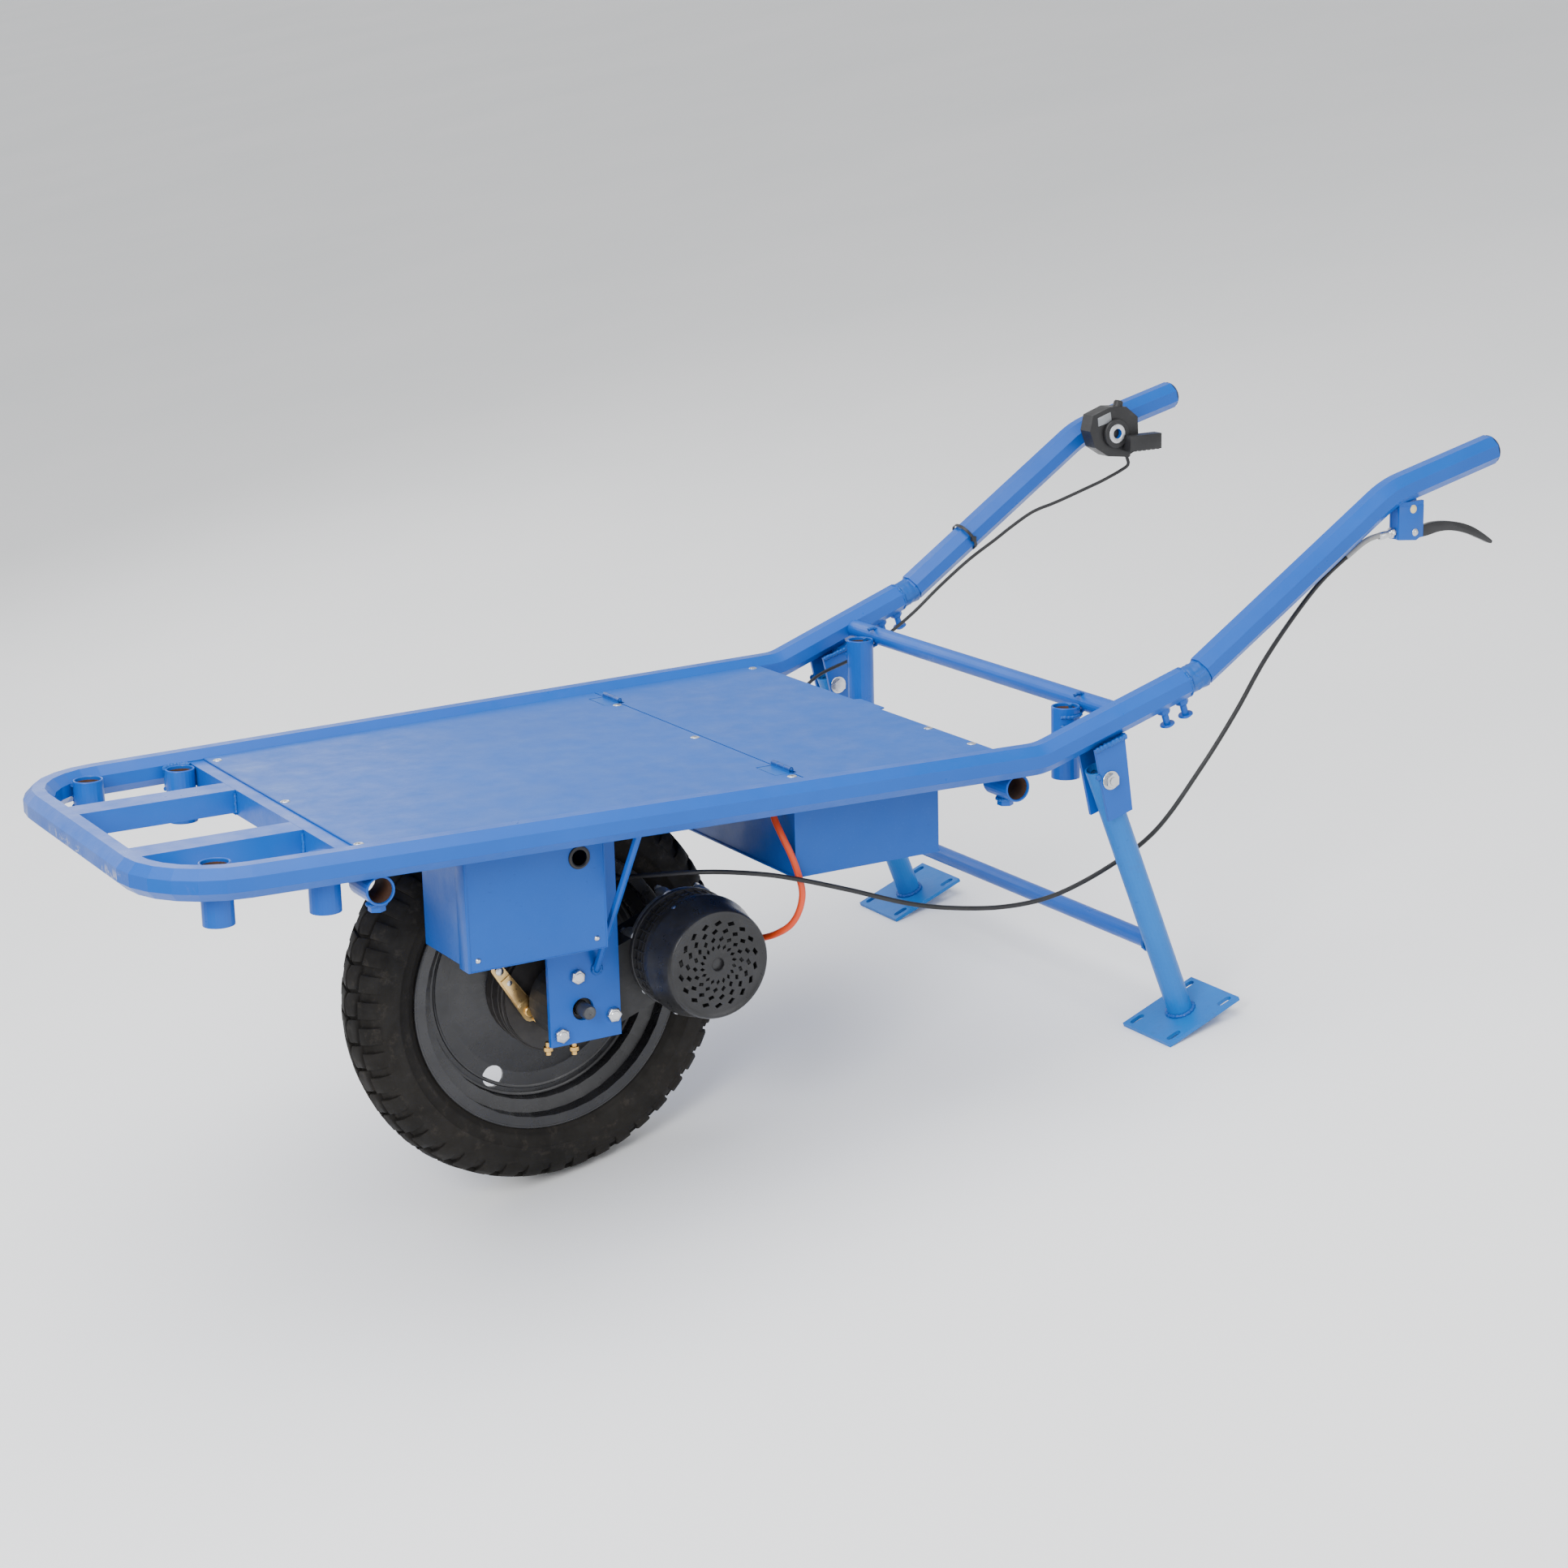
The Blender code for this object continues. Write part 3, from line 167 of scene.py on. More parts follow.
# ------------------------------------------------------------------ materials
class Look:
    """One procedural material: its node tree and a few shorthands."""

    def __init__(self, name, rough=0.5, metal=0.0, specular=0.5, coat=0.0, coat_rough=0.1):
        self.material = bpy.data.materials.new(name)
        self.material.use_nodes = True
        self.tree = self.material.node_tree
        self.shader = self.tree.nodes["Principled BSDF"]
        self.shader.inputs["Roughness"].default_value = rough
        self.shader.inputs["Metallic"].default_value = metal
        self.shader.inputs["Specular IOR Level"].default_value = specular
        self.shader.inputs["Coat Weight"].default_value = coat
        self.shader.inputs["Coat Roughness"].default_value = coat_rough
        self.place = self.tree.nodes.new("ShaderNodeTexCoord").outputs["Object"]

    def set(self, socket, value):
        self.tree.links.new(value, self.shader.inputs[socket])

    def noise(self, scale, detail=4.0, rough=0.55, distort=0.0, stretch=None):
        made = self.tree.nodes.new("ShaderNodeTexNoise")
        made.inputs["Scale"].default_value = scale
        made.inputs["Detail"].default_value = detail
        made.inputs["Roughness"].default_value = rough
        made.inputs["Distortion"].default_value = distort
        place = self.place
        if stretch:
            turn = self.tree.nodes.new("ShaderNodeMapping")
            turn.inputs["Scale"].default_value = stretch
            self.tree.links.new(place, turn.inputs["Vector"])
            place = turn.outputs["Vector"]
        self.tree.links.new(place, made.inputs["Vector"])
        return made.outputs["Fac"]

    def cells(self, scale):
        made = self.tree.nodes.new("ShaderNodeTexVoronoi")
        made.inputs["Scale"].default_value = scale
        self.tree.links.new(self.place, made.inputs["Vector"])
        return made.outputs["Distance"]

    def math(self, operation, first, second=0.0, clamp=False):
        made = self.tree.nodes.new("ShaderNodeMath")
        made.operation = operation
        made.use_clamp = clamp
        for socket, value in zip(made.inputs, (first, second)):
            if isinstance(value, (int, float)):
                socket.default_value = value
            else:
                self.tree.links.new(value, socket)
        return made.outputs[0]

    def range(self, value, low, high, to_low=0.0, to_high=1.0):
        made = self.tree.nodes.new("ShaderNodeMapRange")
        self.tree.links.new(value, made.inputs["Value"])
        for name, number in (("From Min", low), ("From Max", high), ("To Min", to_low), ("To Max", to_high)):
            made.inputs[name].default_value = number
        return made.outputs["Result"]

    def mix(self, factor, first, second):
        made = self.tree.nodes.new("ShaderNodeMix")
        made.data_type = "RGBA"
        for socket, value in ((made.inputs[0], factor), (made.inputs[6], first), (made.inputs[7], second)):
            if isinstance(value, (int, float, tuple)):
                socket.default_value = (*value, 1.0) if isinstance(value, tuple) else value
            else:
                self.tree.links.new(value, socket)
        return made.outputs[2]

    def bump(self, height, strength, distance):
        made = self.tree.nodes.new("ShaderNodeBump")
        made.inputs["Strength"].default_value = strength
        made.inputs["Distance"].default_value = distance
        self.tree.links.new(height, made.inputs["Height"])
        self.set("Normal", made.outputs["Normal"])

    def along(self, origin, direction):
        """Distance of a point from a world point, along a world direction."""
        made = self.tree.nodes.new("ShaderNodeVectorMath")
        made.operation = "SUBTRACT"
        self.tree.links.new(self.place, made.inputs[0])
        made.inputs[1].default_value = Vector(origin)
        dot = self.tree.nodes.new("ShaderNodeVectorMath")
        dot.operation = "DOT_PRODUCT"
        self.tree.links.new(made.outputs["Vector"], dot.inputs[0])
        dot.inputs[1].default_value = Vector(direction)
        return dot.outputs["Value"]


def painted(name, colour, pale, rough, speckle=0.0, chips=None, grain=0.35, rust=0.0):
    """Brushed-on or powder paint over steel: mottled, slightly dusty, with chips where it gets knocked."""
    look = Look(name, rough, 0.0, 0.28, coat=0.06, coat_rough=0.18)
    cloud = look.noise(5.0, 5.0, 0.6)
    base = look.mix(look.range(cloud, 0.35, 0.68), colour, pale)
    fine = look.noise(240.0, 3.0, 0.6)
    if speckle:
        dust = look.range(look.noise(520.0, 2.0, 0.7), 0.62, 0.72, 0.0, speckle)
        base = look.mix(dust, base, (0.04, 0.16, 0.52))
        drops = look.range(look.noise(150.0, 2.0, 0.5), 0.70, 0.75, 0.0, speckle)
        base = look.mix(drops, base, (0.001, 0.025, 0.16))
    scratch = look.noise(38.0, 6.0, 0.75, 1.2, (1.0, 5.0, 5.0))
    marks = look.range(scratch, 0.70, 0.75, 0.0, 0.35)
    base = look.mix(marks, base, (0.02, 0.10, 0.42))
    roughness = look.range(look.noise(26.0, 4.0, 0.6), 0.3, 0.7, rough - 0.07, rough + 0.12)
    if rust:
        stain = look.range(look.noise(19.0, 6.0, 0.75, 0.8), 0.60, 0.72, 0.0, rust)
        base = look.mix(stain, base, (0.10, 0.035, 0.012))
        roughness = look.math("ADD", roughness, look.math("MULTIPLY", stain, 0.3))
    if chips:
        mask = chips(look)
        base = look.mix(mask, base, (0.52, 0.50, 0.46))
        roughness = look.math("ADD", roughness, look.math("MULTIPLY", mask, 0.25), clamp=True)
    look.set("Base Color", base)
    look.set("Roughness", roughness)
    look.bump(look.math("ADD", fine, look.math("MULTIPLY", look.noise(60.0, 3.0), 0.6)), grain, 0.00035)
    return look.material


FORWARD = (M.to_3x3() @ Vector((1, 0, 0)))
UPWARD = (M.to_3x3() @ Vector((0, 0, 1)))
SIDEWAYS = Vector((0, 1, 0))


def front_chips(look):
    """Knocks along the outer lower edge of the front tube and its corners."""
    ahead = look.range(look.along(world((0.505, 0, 0)), FORWARD), 0.0, 0.045)
    low = look.range(look.along(world((0, 0, -0.004)), UPWARD), 0.0, -0.012)
    spots = look.range(look.noise(70.0, 6.0, 0.8, 0.6), 0.53, 0.58)
    patches = look.range(look.noise(9.0, 2.0, 0.5), 0.46, 0.56)
    return look.math("MULTIPLY", look.math("MULTIPLY", ahead, low),
                     look.math("MULTIPLY", spots, patches))


BLUE = (0.0001, 0.074, 0.37)
BLUE_PALE = (0.0002, 0.084, 0.41)
paint = painted("frame_paint", BLUE, BLUE_PALE, 0.34, chips=front_chips)
weld_paint = painted("weld_paint", (0.0001, 0.055, 0.27), (0.0004, 0.095, 0.41), 0.36, grain=0.9, rust=0.10)
deck_paint = painted("deck_paint", (0.0003, 0.078, 0.36), (0.0005, 0.084, 0.385), 0.42, speckle=0.35)
foot_paint = painted("foot_paint", (0.0005, 0.122, 0.43), (0.0012, 0.142, 0.49), 0.40, speckle=0.25,
                     rust=0.25)
# darker blue for the hinge knuckles: a painted shadow line along the knuckles, with a little rust
knuckle_shadow_paint = painted("knuckle_shadow_paint", (0.0001, 0.042, 0.21), (0.0003, 0.068, 0.32), 0.40, rust=0.10)
hinge_paint = painted("hinge_paint", (0.0002, 0.076, 0.33), (0.0004, 0.098, 0.40), 0.42, speckle=0.4)


def metal(name, colour, other, rough, metallic=1.0, grain=(300.0, 0.12), stretch=None, stain=None):
    look = Look(name, rough, metallic)
    mottle = look.noise(34.0, 5.0, 0.6, 0.0, stretch)
    base = look.mix(look.range(mottle, 0.35, 0.68), colour, other)
    if stain:
        spots = look.range(look.noise(80.0, 5.0, 0.75), 0.60, 0.70, 0.0, stain[0])
        base = look.mix(spots, base, stain[1])
    look.set("Base Color", base)
    look.set("Roughness", look.range(look.noise(120.0, 3.0), 0.3, 0.7, rough - 0.07, rough + 0.12))
    look.bump(look.noise(grain[0], 3.0, 0.6, 0.0, stretch), grain[1], 0.0003)
    return look.material


steel = metal("zinc_steel", (0.62, 0.63, 0.65), (0.50, 0.51, 0.53), 0.28, stain=(0.4, (0.28, 0.25, 0.20)))
ground_steel = metal("ground_steel", (0.52, 0.53, 0.55), (0.40, 0.41, 0.42), 0.24, stretch=(1.0, 6.0, 1.0))
dark_steel = metal("dark_steel", (0.10, 0.105, 0.11), (0.06, 0.06, 0.065), 0.42, 0.7)
gold_zinc = metal("gold_zinc", (0.70, 0.49, 0.20), (0.55, 0.36, 0.16), 0.30, stain=(0.35, (0.50, 0.36, 0.32)))
brass = metal("brass", (0.72, 0.46, 0.15), (0.58, 0.36, 0.12), 0.32)
cast = metal("cast_aluminium", (0.50, 0.51, 0.52), (0.36, 0.37, 0.38), 0.50, grain=(420.0, 0.55),
             stain=(0.35, (0.20, 0.20, 0.20)))
rust = metal("rusty_bore", (0.080, 0.032, 0.014), (0.030, 0.016, 0.012), 0.85, 0.1, (160.0, 0.8),
             stain=(0.6, (0.14, 0.055, 0.020)))
white_plastic = metal("white_plastic", (0.72, 0.72, 0.70), (0.62, 0.62, 0.60), 0.45, 0.0)


def enamel(name, colour, other, rough, coat, grain=0.18, dust=0.25):
    look = Look(name, rough, 0.0, 0.35, coat=coat * 0.5, coat_rough=0.12)
    mottle = look.noise(18.0, 5.0, 0.6)
    base = look.mix(look.range(mottle, 0.35, 0.7), colour, other)
    powder = look.range(look.noise(46.0, 6.0, 0.75), 0.58, 0.80, 0.0, dust)
    look.set("Base Color", look.mix(powder, base, (0.16, 0.15, 0.14)))
    look.set("Roughness", look.range(look.noise(60.0, 4.0), 0.3, 0.7, rough - 0.06, rough + 0.14))
    look.bump(look.noise(380.0, 3.0), grain, 0.0003)
    return look.material


black_enamel = enamel("black_enamel", (0.012, 0.012, 0.014), (0.022, 0.022, 0.024), 0.26, 0.5, dust=0.10)
drum_black = enamel("drum_black", (0.014, 0.013, 0.013), (0.030, 0.026, 0.024), 0.45, 0.1)
motor_black = enamel("motor_black", (0.018, 0.018, 0.020), (0.035, 0.035, 0.038), 0.38, 0.2, dust=0.12)
case_black = enamel("case_black", (0.012, 0.012, 0.013), (0.030, 0.030, 0.031), 0.50, 0.1, grain=0.5,
                    dust=0.20)
black_alloy = enamel("black_alloy", (0.010, 0.010, 0.011), (0.018, 0.018, 0.020), 0.30, 0.4, dust=0.08)
box_blue = painted("box_paint", (0.0002, 0.074, 0.36), (0.0004, 0.082, 0.39), 0.40, speckle=0.20)


def moulded(name, colour, other, rough, grain=(520.0, 0.35), dust=0.12):
    look = Look(name, rough, 0.0, 0.35)
    base = look.mix(look.range(look.noise(22.0, 4.0), 0.35, 0.7), colour, other)
    powder = look.range(look.noise(90.0, 5.0, 0.7), 0.58, 0.78, 0.0, dust)
    look.set("Base Color", look.mix(powder, base, (0.14, 0.13, 0.12)))
    look.set("Roughness", look.range(look.noise(70.0, 3.0), 0.3, 0.7, rough - 0.05, rough + 0.10))
    look.bump(look.noise(*grain[:1], 2.0), grain[1], 0.0002)
    return look.material


plastic = moulded("black_plastic", (0.014, 0.014, 0.015), (0.022, 0.022, 0.023), 0.38)
cap_plastic = moulded("cap_plastic", (0.010, 0.010, 0.011), (0.020, 0.020, 0.022), 0.30)
navy = moulded("navy_plastic", (0.004, 0.016, 0.070), (0.008, 0.030, 0.11), 0.32)
window = moulded("grey_window", (0.20, 0.21, 0.22), (0.28, 0.29, 0.30), 0.10, dust=0.0)
grey_sheath = moulded("grey_sheath", (0.22, 0.22, 0.22), (0.32, 0.32, 0.31), 0.42)
black_sheath = moulded("black_sheath", (0.012, 0.012, 0.013), (0.020, 0.020, 0.021), 0.42)
red_sheath = moulded("red_sheath", (0.62, 0.050, 0.012), (0.70, 0.075, 0.018), 0.34, dust=0.05)
cream = moulded("cream_cap", (0.72, 0.62, 0.34), (0.62, 0.52, 0.28), 0.45)


def tyre_rubber():
    look = Look("tyre_rubber", 0.78, 0.0, 0.20)
    base = look.mix(look.range(look.noise(9.0, 5.0, 0.65), 0.35, 0.7), (0.007, 0.0065, 0.006),
                    (0.015, 0.013, 0.011))
    dirt = look.range(look.noise(55.0, 6.0, 0.75), 0.55, 0.75, 0.0, 0.45)
    look.set("Base Color", look.mix(dirt, base, (0.060, 0.050, 0.040)))
    look.set("Roughness", look.range(look.noise(40.0, 4.0), 0.3, 0.7, 0.62, 0.92))
    look.bump(look.noise(420.0, 3.0), 0.35, 0.0003)
    return look.material


rubber = tyre_rubber()


def floor_material():
    look = Look("floor", 0.75, 0.0, 0.2)
    look.set("Base Color", look.mix(look.range(look.noise(1.2, 3.0), 0.3, 0.7), (0.86, 0.87, 0.88),
                                    (0.90, 0.90, 0.91)))
    return look.material


plane = bpy.data.meshes.new("floor")
plane.from_pydata([(-30, -30, 0), (30, -30, 0), (30, 30, 0), (-30, 30, 0)], [], [(0, 1, 2, 3)])
plane.materials.append(floor_material())
floor = bpy.data.objects.new("floor", plane)
bpy.context.scene.collection.objects.link(floor)


# ------------------------------------------------------------------ mesh shorthands (machine frame)
def merge(target, made, turn=None):
    if turn is not None:
        bmesh.ops.transform(made, matrix=turn, verts=made.verts)
    bmesh.ops.recalc_face_normals(made, faces=made.faces)
    mesh = bpy.data.meshes.new("part")
    made.to_mesh(mesh)
    made.free()
    target.from_mesh(mesh)
    bpy.data.meshes.remove(mesh)


def basis(axis):
    """A turn that puts Z along an axis."""
    return Vector((0, 0, 1)).rotation_difference(Vector(axis).normalized()).to_matrix().to_4x4()


def lathe(target, profile, at, axis=(0, 1, 0), steps=48, closed=False, start=0.0):
    """A turned shape from (radius, height) points along an axis."""
    made = bmesh.new()
    rings = []
    for radius, height in profile:
        count = 1 if radius < 1e-6 else steps
        rings.append([made.verts.new((radius * math.cos(start + 2 * math.pi * k / steps),
                                      radius * math.sin(start + 2 * math.pi * k / steps), height))
                      for k in range(count)])
    pairs = list(zip(rings, rings[1:])) + ([(rings[-1], rings[0])] if closed else [])
    for low, high in pairs:
        for k in range(steps):
            n = (k + 1) % steps
            if len(low) == 1 and len(high) == 1:
                continue
            if len(low) == 1:
                made.faces.new((low[0], high[k], high[n]))
            elif len(high) == 1:
                made.faces.new((low[k], low[n], high[0]))
            else:
                made.faces.new((low[k], low[n], high[n], high[k]))
    merge(target, made, Matrix.Translation(Vector(at)) @ basis(axis))


def tube(target, points, radius, sides=8, wobble=0.0, seed=0.0):
    """A round bar along points; the radius may be a function of the way along."""
    points = [Vector(point) for point in points]
    made = bmesh.new()
    normal = None
    rings = []
    for index, point in enumerate(points):
        before, after = points[max(index - 1, 0)], points[min(index + 1, len(points) - 1)]
        tangent = (after - before).normalized()
        if normal is None:
            normal = tangent.orthogonal().normalized()
        normal = (normal - tangent * normal.dot(tangent)).normalized()
        side = tangent.cross(normal)
        here = radius(index / (len(points) - 1)) if callable(radius) else radius
        ring = []
        for k in range(sides):
            turn = 2 * math.pi * k / sides
            out = normal * math.cos(turn) + side * math.sin(turn)
            push = 1.0 + wobble * noise.noise(point * 900 + out * 1.7 + Vector((seed, 0, 0)))
            ring.append(made.verts.new(point + out * here * push))
        rings.append(ring)
    for low, high in zip(rings, rings[1:]):
        for k in range(sides):
            made.faces.new((low[k], low[(k + 1) % sides], high[(k + 1) % sides], high[k]))
    made.faces.new(rings[0])
    made.faces.new(rings[-1])
    merge(target, made)


def brick(target, low, high, bevel=0.0008, turn=None, segments=2):
    made = bmesh.new()
    low, high = Vector(low), Vector(high)
    bmesh.ops.create_cube(made, size=1.0, matrix=Matrix.Translation((low + high) / 2)
                          @ Matrix.Diagonal((*(high - low), 1.0)))
    if bevel:
        bmesh.ops.bevel(made, geom=made.edges[:], offset=bevel, segments=segments, profile=0.5,
                        affect="EDGES")
    merge(target, made, turn)


def slab(target, outline, y0, y1, bevel=0.0008, turn=None, segments=2):
    """An XZ outline with a thickness in Y and rounded edges."""
    made = bmesh.new()
    face = made.faces.new([made.verts.new((x, y0, z)) for x, z in outline])
    moved = bmesh.ops.extrude_face_region(made, geom=[face])["geom"]
    far = [v for v in moved if isinstance(v, bmesh.types.BMVert)]
    bmesh.ops.translate(made, vec=(0, y1 - y0, 0), verts=far)
    bmesh.ops.recalc_face_normals(made, faces=made.faces)
    if bevel:
        bmesh.ops.bevel(made, geom=made.edges[:], offset=bevel, segments=segments, profile=0.5,
                        affect="EDGES")
    merge(target, made, turn)


def bead(target, points, radius, seed=0.0):
    """A weld: overlapping scallops laid along a line."""
    points = [Vector(point) for point in points]
    length = route_length(points)
    count = max(6, int(length / (radius * 0.42)))
    line = []
    for index in range(count + 1):
        walk = length * index / count
        for first, second in zip(points, points[1:]):
            step = (second - first).length
            if walk <= step + 1e-9:
                line.append(first.lerp(second, walk / step))
                break
            walk -= step
        else:
            line.append(points[-1])
    shift = Vector((seed, seed, 0))
    jitter = [point + noise.noise_vector(point * 160 + shift) * radius * 0.22 for point in line]

    def scallop(t):
        return radius * (0.80 + 0.26 * abs(math.sin(t * count * 0.75 + seed)))

    tube(target, jitter, scallop, 7, 0.25, seed)


def ring_points(centre, radius, axis=(0, 0, 1), start=0, end=360, steps=24):
    turn = basis(axis)
    angles = [math.radians(start + (end - start) * k / steps) for k in range(steps + 1)]
    return [Vector(centre) + (turn @ Vector((radius * math.cos(angle), radius * math.sin(angle), 0)))
            for angle in angles]


def hex_head(target, at, axis, across, height, start=0.3):
    """A chamfered hexagon head standing on a point."""
    made = bmesh.new()
    r = across / 2 / math.cos(math.pi / 6)
    rings = []
    for radius, h, twist in ((r, 0.0, 0), (r, height * 0.80, 0), (across / 2 * 0.93, height, 0)):
        rings.append([made.verts.new((radius * math.cos(start + math.pi / 3 * k),
                                      radius * math.sin(start + math.pi / 3 * k), h)) for k in range(6)])
    for low, high in zip(rings, rings[1:]):
        for k in range(6):
            made.faces.new((low[k], low[(k + 1) % 6], high[(k + 1) % 6], high[k]))
    made.faces.new(rings[0])
    made.faces.new(rings[-1])
    bmesh.ops.bevel(made, geom=made.edges[:], offset=across * 0.02, segments=1, affect="EDGES")
    merge(target, made, Matrix.Translation(Vector(at)) @ basis(axis))


def washer(target, at, axis, outer, inner, thick, steps=32):
    lathe(target, [(inner, 0.0), (outer - thick * 0.25, 0.0), (outer, thick * 0.3), (outer, thick * 0.7),
                   (outer - thick * 0.25, thick), (inner, thick)], at, axis, steps, closed=True)


class Kit:
    """Small pieces of one material on one body, gathered into one mesh."""

    def __init__(self, name, material, body, slot, sharp=32):
        self.name, self.material, self.body, self.slot, self.sharp = name, material, body, slot, sharp
        self.bm = bmesh.new()

    def done(self):
        mesh = bpy.data.meshes.new(self.name)
        self.bm.to_mesh(mesh)
        self.bm.free()
        mesh.transform(M)
        mesh.materials.append(self.material)
        mesh.shade_smooth()
        mesh.set_sharp_from_angle(angle=math.radians(self.sharp))
        made = bpy.data.objects.new(self.name, mesh)
        bpy.context.scene.collection.objects.link(made)
        if self.body:
            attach(made, self.body)
        return made


def one(name, material, body, slot, sharp=32):
    return Kit(name, material, body, slot, sharp)


# ------------------------------------------------------------------ cables
def cable(name, route, spacing, radius, material, body, slot):
    points = smooth_route(route, spacing)
    kit = one(name, material, body, slot)
    fine = smooth_route(points, spacing / 4)
    tube(kit.bm, fine, radius, 14)
    made = kit.done()
    return made


brake_cable = cable("brake_cable_sheath", BRAKE_ROUTE, 0.018, 0.0030, black_sheath, None, "cable_black")
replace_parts(brake_cable, "brake_cable")
motor_lead = cable("motor_lead_sheath", LEAD_ROUTE, 0.010, 0.0042, red_sheath, "frame", "cable_red")
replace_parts(motor_lead, "motor_lead")
throttle_cable = cable("throttle_cable_sheath", THROTTLE_ROUTE, 0.014, 0.0024, black_sheath, None,
                       "cable_black")
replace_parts(throttle_cable, "throttle_cable")
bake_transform(brake_cable)
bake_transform(throttle_cable)


# ------------------------------------------------------------------ carried-over CAD pieces
LOOKS = {
    "battery_box": box_blue, "controller_box": box_blue, "controller_cover": box_blue,
    "front_deck_plate": deck_paint, "battery_lid": deck_paint, "left_lid_hinge": hinge_paint,
    "right_lid_hinge": hinge_paint, "battery_pack": plastic, "motor_controller": cast,
    "gearbox_housing": case_black, "first_reduction_gear": ground_steel, "second_reduction_gear": ground_steel,
    "motor_housing": motor_black, "motor_rotor": motor_black, "tyre": rubber, "rim": black_enamel,
    "brake_drum": drum_black, "wheel_axle": ground_steel, "right_bearing": cast,
    "brake_backing_plate": drum_black, "brake_arm": gold_zinc, "left_pivot_bolt": steel,
    "right_pivot_bolt": steel, "left_grip_plug": navy, "right_grip_plug": navy, "brake_lever": black_alloy,
    "throttle_body": plastic, "throttle_paddle": plastic, "left_leg": foot_paint, "right_leg": foot_paint,
}
for name in frame["nodes"]:
    thing = bpy.data.objects.get(name)
    if thing is not None and thing.type == "MESH":
        finish_look = LOOKS.get(name, paint)
        thing.data.materials.clear()
        thing.data.materials.append(finish_look)
SIDES = (("left", 1), ("right", -1))
TUBE, RAIL_Z = 0.0366, -0.009
BEND_X, RISE, TAPER = -0.533, 0.330, 0.059


def rail_y(x):
    return 0.287 - TAPER * x


def rail_z(x):
    return RAIL_Z + RISE * max(0.0, BEND_X - x)


POCKET_R = 0.018
FRONT_POCKET_X, MID_POCKET_X, REAR_POCKET = 0.472, 0.3535, (-0.6246, 0.243)
FRONT_POCKET_Y = rail_y(FRONT_POCKET_X) - TUBE / 2 - POCKET_R - 0.0072
MID_POCKET_Y = rail_y(MID_POCKET_X) - TUBE / 2 - POCKET_R - 0.0012
SOCKETS = ((0.304, 0.268), (-0.508, 0.309))          # x, and y of the mouth
SOCKET_Z = RAIL_Z - TUBE / 2 - 0.0003 - 0.017
MOUTH_X = -0.742
LEG_Y, LEG_RAKE = 0.3205, math.radians(21)
HANDLE_BEND, HANDLE_TIP = (-1.0545, 0.336, 0.261), (-1.2183, 0.3381, 0.3012)
LEVER_AT, THROTTLE_AT = (-1.090, 0.338, 0.209), (-1.074, -0.268, 0.2655)
SEAM_X, HINGE_Y, HINGE_Z = -0.237, (0.212, -0.230), 0.0035


# ------------------------------------------------------------------ tyre
OUTER = [(0.1668, 0.0290), (0.1740, 0.0340), (0.1820, 0.0395), (0.1920, 0.0455), (0.2060, 0.0490),
         (0.2220, 0.0475), (0.2370, 0.0390), (0.2455, 0.0230), (0.2500, 0.0)]
TREAD = 0.0062


def crown(height):
    """Radius of the tyre's outer skin at a distance from its middle."""
    height = abs(height)
    points = [(h, r) for r, h in OUTER if r > 0.204]
    points.sort()
    for (h0, r0), (h1, r1) in zip(points, points[1:]):
        if height <= h1:
            t = (height - h0) / (h1 - h0)
            return r0 + (r1 - r0) * t
    return points[-1][1]


